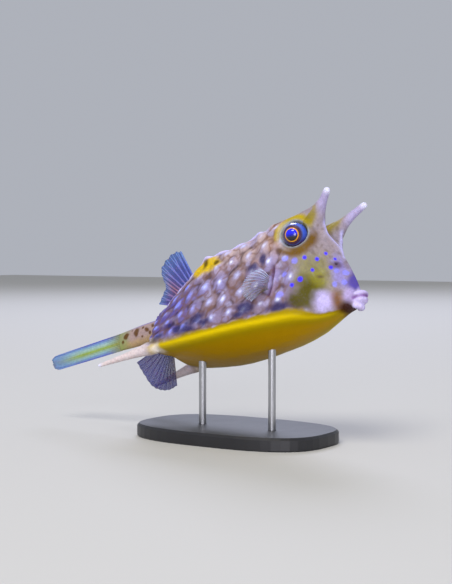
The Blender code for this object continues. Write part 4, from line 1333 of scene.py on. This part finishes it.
def make_fin(
    name, roots, tips, rays, girths, finishes,
    side=1, out=(0, 1, 0), bulge=0.0, pleat=0.0, scallop=0.03,
):
    """Fin with forked rays; roots lie in the body, tips give its outline."""
    out = unit(np.asarray(out, float))

    def place(across, reach):
        root, tip = line_at(roots, across), line_at(tips, across)
        fold = pleat * np.cos(across * (rays - 1) * math.pi)
        bow = out * (fold * reach + bulge * 4 * reach * (1 - reach))[..., None]
        return (root + (tip - root) * reach[..., None] + bow) * (1, side, 1)

    wide = (rays - 1) * COLUMNS_PER_RAY + 1
    across = np.linspace(0, 1, wide)
    dip = scallop * np.sin(across * (rays - 1) * math.pi) ** 2
    a, r = np.meshgrid(across, np.linspace(0.0, 1.0, FIN_ROWS), indexing="xy")
    r = r * (1 - dip)[None, :]
    points, faces, edges, count = [place(a, r).reshape(-1, 3)], [], [], a.size
    for i in range(FIN_ROWS - 1):
        for j in range(wide - 1):
            k = i * wide + j
            faces.append((k, k + 1, k + wide + 1, k + wide))
    rows = [(a.ravel(), r.ravel(), np.zeros(count), np.zeros(count))]
    step = 1 / (rays - 1)
    for k in range(rays):
        for fork, start, end in BRANCHES:
            reach = np.linspace(start, end, LINE_POINTS)
            apart = fork * ramp(FORK_AT - 0.02, 1.0, reach)
            across = np.clip(k * step + apart * step, 0, 1)
            points.append(place(across, reach))
            girth = (girths[0] + (girths[1] - girths[0]) * reach) * MM
            rows.append((across, reach, np.ones(LINE_POINTS), girth))
            edges += [(count + n, count + n + 1) for n in range(LINE_POINTS - 1)]
            count += LINE_POINTS
    mesh = bpy.data.meshes.new(name)
    mesh.from_pydata([tuple(p) for p in to_world(np.concatenate(points))], edges, faces)
    for field, values in zip(("across", "reach", "is_ray", "girth"), zip(*rows)):
        write_field(mesh, field, np.concatenate(values))
    obj = new_object(name, mesh)
    modifier = obj.modifiers.new("fin", "NODES")
    modifier.node_group = FIN_TREE
    given = dict(zip(INPUTS, (None, MEMBRANE * MM, RAY_SIDES, 1.0, *finishes)))
    for item in FIN_TREE.interface.items_tree:
        if item.in_out == "INPUT" and given[item.name] is not None:
            modifier[item.identifier] = given[item.name]
    obj.data = evaluated_mesh(obj)
    obj.modifiers.clear()
    obj.data.name = name
    return obj


def fin_material(name, across_stops, root_tone, edge_tone, alpha):
    """Fin membrane or ray: colour runs across the fin, and from its root to its edge."""
    material, tree, shader = new_material(name)
    across, reach = attribute(tree, "across"), attribute(tree, "reach")
    bands = add(tree, "ShaderNodeValToRGB", "Color", {"Fac": across})
    stops = bands.node.color_ramp.elements
    while len(stops) < len(across_stops):
        stops.new(0.5)
    for stop, (at, tone) in zip(stops, across_stops):
        stop.position = at
        stop.color = colour(tone)
    fleck = noise_at(tree, place_on(tree), 700.0, 3.0)
    base = mix(tree, rise_to(tree, reach, 0.55, 1.0, 0.8), bands, colour(edge_tone))
    base = mix(tree, rise_to(tree, reach, 0.26, 0.0, 0.9), base, colour(root_tone))
    finish = {
        "Base Color": brighten(tree, base, spread(tree, fleck, 0.7, 1.3)),
        "Normal": bump(tree, fleck, 0.25, 0.0002),
        "Roughness": 0.3,
        "Alpha": alpha,
        "IOR": 1.38,
        "Subsurface Weight": 0.2,
        "Subsurface Scale": 0.0008,
    }
    feed(tree, shader, finish)
    return material


print("lines of one ray:", len(BRANCHES))

# %% Lines of the fins
DORSAL_ROOTS = ((-24.5, 0, 17.0), (-30.5, 0, 13.5), (-37.0, 0, 10.0))
DORSAL_TIPS = (
    (-37.5, 0.5, 43.5),
    (-42.5, 0.7, 44.2),
    (-48.5, 0.9, 41.3),
    (-52.2, 1.0, 36.5),
    (-51.0, 1.2, 30.3),
    (-49.2, 1.4, 25.2),
    (-51.8, 1.6, 20.4),
    (-54.4, 1.8, 16.2),
)
ANAL_ROOTS = ((-43.0, 0, -14.5), (-45.5, 0, -12.5), (-48.5, 0, -9.0))
ANAL_TIPS = (
    (-44.6, 5.0, -33.3),
    (-50.5, 5.6, -34.3),
    (-57.0, 5.8, -33.0),
    (-62.5, 5.0, -29.5),
    (-67.0, 3.5, -22.2),
    (-70.4, 1.5, -15.2),
)
CAUDAL_ROOTS = ((-80.0, 0, 3.8), (-80.0, 0, -1.2), (-80.0, 0, -6.2))
CAUDAL_TIPS = (
    (-131.0, 0, 1.9),
    (-134.5, 0, 0.6),
    (-134.0, 0, -2.7),
    (-132.5, 0, -5.8),
    (-129.0, 0, -7.4),
)
PECTORAL_OUT = (0.6, 1, 0.15)  # the way it bulges
PECTORAL_ROOTS = ((35.2, 19.4, 1.8), (34.6, 19.6, -1.2), (34.8, 19.9, -4.4))
PECTORAL_TIPS = (
    (32.5, 25.0, 5.5),
    (28.5, 27.0, 3.8),
    (25.5, 28.6, -0.2),
    (24.5, 29.5, -4.8),
    (25.5, 29.0, -9.0),
    (28.5, 27.0, -11.8),
)
print("tail fin's reach behind its root, mm:", CAUDAL_ROOTS[1][0] - CAUDAL_TIPS[1][0])

# %% [markdown]
# ## Colours of the fins
#
# Light passes through a fin's membrane, so the membrane is see-through and the rays are more
# solid. The colours change from the first ray to the last and again towards the edge. Two
# attributes of the mesh say where each point lies, and a colour ramp and two mixes do the rest.

# %% Finishes of the fins: each membrane and its rays
DORSAL_WEB = ((0.0, "#3a4592"), (0.35, "#40478e"), (0.6, "#5f4672"), (1.0, "#3c3482"))
DORSAL_RAY = ((0.0, "#626fc0"), (0.4, "#7670b4"), (0.62, "#9c6a7c"), (1.0, "#665cb0"))
ANAL_WEB = ((0.0, "#453c54"), (0.2, "#34325e"), (0.5, "#2c2a78"), (1.0, "#3a2f6a"))
ANAL_RAY = ((0.0, "#64586c"), (0.3, "#504e84"), (1.0, "#585090"))
TAIL_WEB, TAIL_RAY = (
    list(zip((0.0, 0.2, 0.38, 0.53, 0.74, 1.0), tones))
    for tones in (
        ("#4a54b4", "#7c9cc0", "#9cbcae", "#8fa22c", "#8aacb0", "#5664b8"),
        ("#525cb8", "#84a4c6", "#a2c2b4", "#97a836", "#92b4b6", "#5f6cbc"),
    )
)
PECTORAL_WEB = ((0.0, "#b4bade"), (0.45, "#8a809a"), (1.0, "#5c562c"))
PECTORAL_RAY = ((0.0, "#dfe5ff"), (0.4, "#b9bedf"), (0.7, "#8a8098"), (1.0, "#6a6440"))
FIN_FINISHES = {
    # name, colours across the fin, at its root and at its edge, opacity
    "dorsal": (
        ("blue translucent dorsal membrane", DORSAL_WEB, "#5a4c80", "#4f6aa4", 0.78),
        ("pinkish dorsal rays", DORSAL_RAY, "#86749c", "#6f8abc", 1.0),
    ),
    "anal": (
        ("violet translucent anal membrane", ANAL_WEB, "#4a4030", "#34347e", 0.62),
        ("violet anal rays", ANAL_RAY, "#5c5040", "#5454a0", 0.4),
    ),
    "tail": (
        ("blue and green tail membrane", TAIL_WEB, "#83864a", "#6680bc", 0.84),
        ("green tail rays", TAIL_RAY, "#8a8c50", "#6e88c2", 0.9),
    ),
    "pectoral": (
        ("clear pectoral membrane", PECTORAL_WEB, "#8c8090", "#aab2d0", 0.18),
        ("white pectoral rays", PECTORAL_RAY, "#a094a4", "#c8d0f0", 0.55),
    ),
}
finishes = {fin: [fin_material(*row) for row in rows] for fin, rows in FIN_FINISHES.items()}
print("fin finishes:", sum(len(pair) for pair in finishes.values()))


# %% The five fins
def hang(name, slot, node, finish, *shape, **rest):
    """Makes a fin from root, outline, number of rays, their two girths and its finishes."""
    fin = make_fin(name, *shape, finishes[finish], **rest)
    pieces.append((fin, slot, [node]))
    print(fin.name, "faces:", len(fin.data.polygons))


shape = (DORSAL_ROOTS, DORSAL_TIPS, 11, (0.62, 0.3))
hang("dorsal_fin_rayed", "fin", "dorsal_fin", "dorsal", *shape)
shape = (ANAL_ROOTS, ANAL_TIPS, 11, (0.36, 0.16))
hang("anal_fin_rayed", "fin", "anal_fin", "anal", *shape, scallop=0.015)
shape = (CAUDAL_ROOTS, CAUDAL_TIPS, 10, (0.3, 0.18))
hang("tail_fin_rayed", "tail", "caudal_fin", "tail", *shape, pleat=0.2, scallop=0.008)
shape = (PECTORAL_ROOTS, PECTORAL_TIPS, 11, (0.24, 0.12))
for side, word in SIDES.items():
    names = ("pectoral_fan_" + word, "fin", "pectoral_fin_" + word, "pectoral")
    hang(*names, *shape, side=side, out=PECTORAL_OUT, bulge=2.2)

# %% [markdown]
# ## Stand
#
# The base is cut steel with a satin black powder coat, and the rods are brushed steel. Their
# solids already have the right shape, so they only get their finish.


# %% Stand finishes
def powder_coat():
    """Satin powder coat: a fine orange peel and a little dust in the sheen."""
    material, tree, shader = new_material("satin black powder coat")
    place = place_on(tree)
    peel, dust = noise_at(tree, place, 1200.0, 2.0), noise_at(tree, place, 45.0, 6.0)
    finish = {
        "Base Color": mix(tree, dust, colour("#17171a"), colour("#232327")),
        "Roughness": spread(tree, dust, 0.3, 0.52),
        "Normal": bump(tree, peel, 0.2, 0.0002),
    }
    feed(tree, shader, finish)
    return material


def brushed_steel():
    """Steel rod brushed along its length: long fine scratches."""
    material, tree, shader = new_material("brushed stainless steel")
    feeds = {"Vector": place_on(tree), "Scale": (1.0, 1.0, 0.03)}
    brush = noise_at(tree, add(tree, "ShaderNodeMapping", "Vector", feeds), 3000.0, 3.0)
    finish = {
        "Base Color": mix(tree, brush, colour("#9c9da0"), colour("#c4c5c8")),
        "Roughness": spread(tree, brush, 0.2, 0.42),
        "Normal": bump(tree, brush, 0.15, 0.0001),
        "Metallic": 1.0,
    }
    feed(tree, shader, finish)
    return material


for node, make_finish in (
    ("stand_base", powder_coat),
    ("stand_rod_front", brushed_steel),
    ("stand_rod_rear", brushed_steel),
):
    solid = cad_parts[node]
    solid.data.materials.clear()
    solid.data.materials.append(make_finish())
print("stand finished")

# %% [markdown]
# ## Studio
#
# A pale floor, a large soft light above and ahead of the fish, a weaker and lower one more from
# its front, and a cool one behind that draws the pale rim along its back.

# %% Floor and lights
FLOOR_TONE = "#c2c0ba"
FLOOR_HALF = 3.0  # metres
WORLD_TONE = "#c6cad4"
WORLD_STRENGTH = 0.75
AIM = (0.0, 0.0, 0.08)
LIGHTS = (
    # name, place and size in metres, power in watts, tone
    ("key", (0.2, -1.6, 2.2), 1.3, 42.0, "#fffdf8"),
    ("fill", (1.2, -1.7, 0.42), 1.2, 25.0, "#f6f4ff"),
    ("rim", (-0.9, 1.5, 1.5), 1.0, 24.0, "#dfe4ff"),
)


def make_floor():
    corners = [(x * FLOOR_HALF, y * FLOOR_HALF, 0) for x, y in ((-1, -1), (1, -1), (1, 1), (-1, 1))]
    floor = make_object("studio_floor", corners, [(0, 1, 2, 3)])
    material, tree, shader = new_material("pale studio paper")
    fibre = noise_at(tree, place_on(tree), 90.0, 5.0)
    finish = {"Base Color": colour(FLOOR_TONE), "Normal": bump(tree, fibre, 0.05, 0.001)}
    feed(tree, shader, {**finish, "Roughness": 0.8})
    floor.data.materials.append(material)


def make_light(name, at, size, power, tone):
    data = bpy.data.lights.new(name, "AREA")
    data.shape = "DISK"
    data.size = size
    data.energy = power
    data.color = colour(tone)[:3]
    light = new_object(name, data)
    light.location = at
    light.rotation_euler = (Vector(AIM) - Vector(at)).to_track_quat("-Z", "Y").to_euler()


make_floor()
for row in LIGHTS:
    make_light(*row)
world = bpy.data.worlds.new("studio")
world.use_nodes = True
background = world.node_tree.nodes["Background"]
background.inputs["Color"].default_value = colour(WORLD_TONE)
background.inputs["Strength"].default_value = WORLD_STRENGTH
bpy.context.scene.world = world
bpy.context.scene.view_settings.view_transform = "Standard"
print("lights:", len(LIGHTS))

# %% [markdown]
# ## Pieces and solids
#
# The solids stay as what the physics knows of the fish. Each visible piece rides on the body
# root and names the solids that it takes the place of, which are hidden.

# %% Join the pieces to the solids
for piece, slot, nodes in pieces:
    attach(piece, "root")
    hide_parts(*nodes)
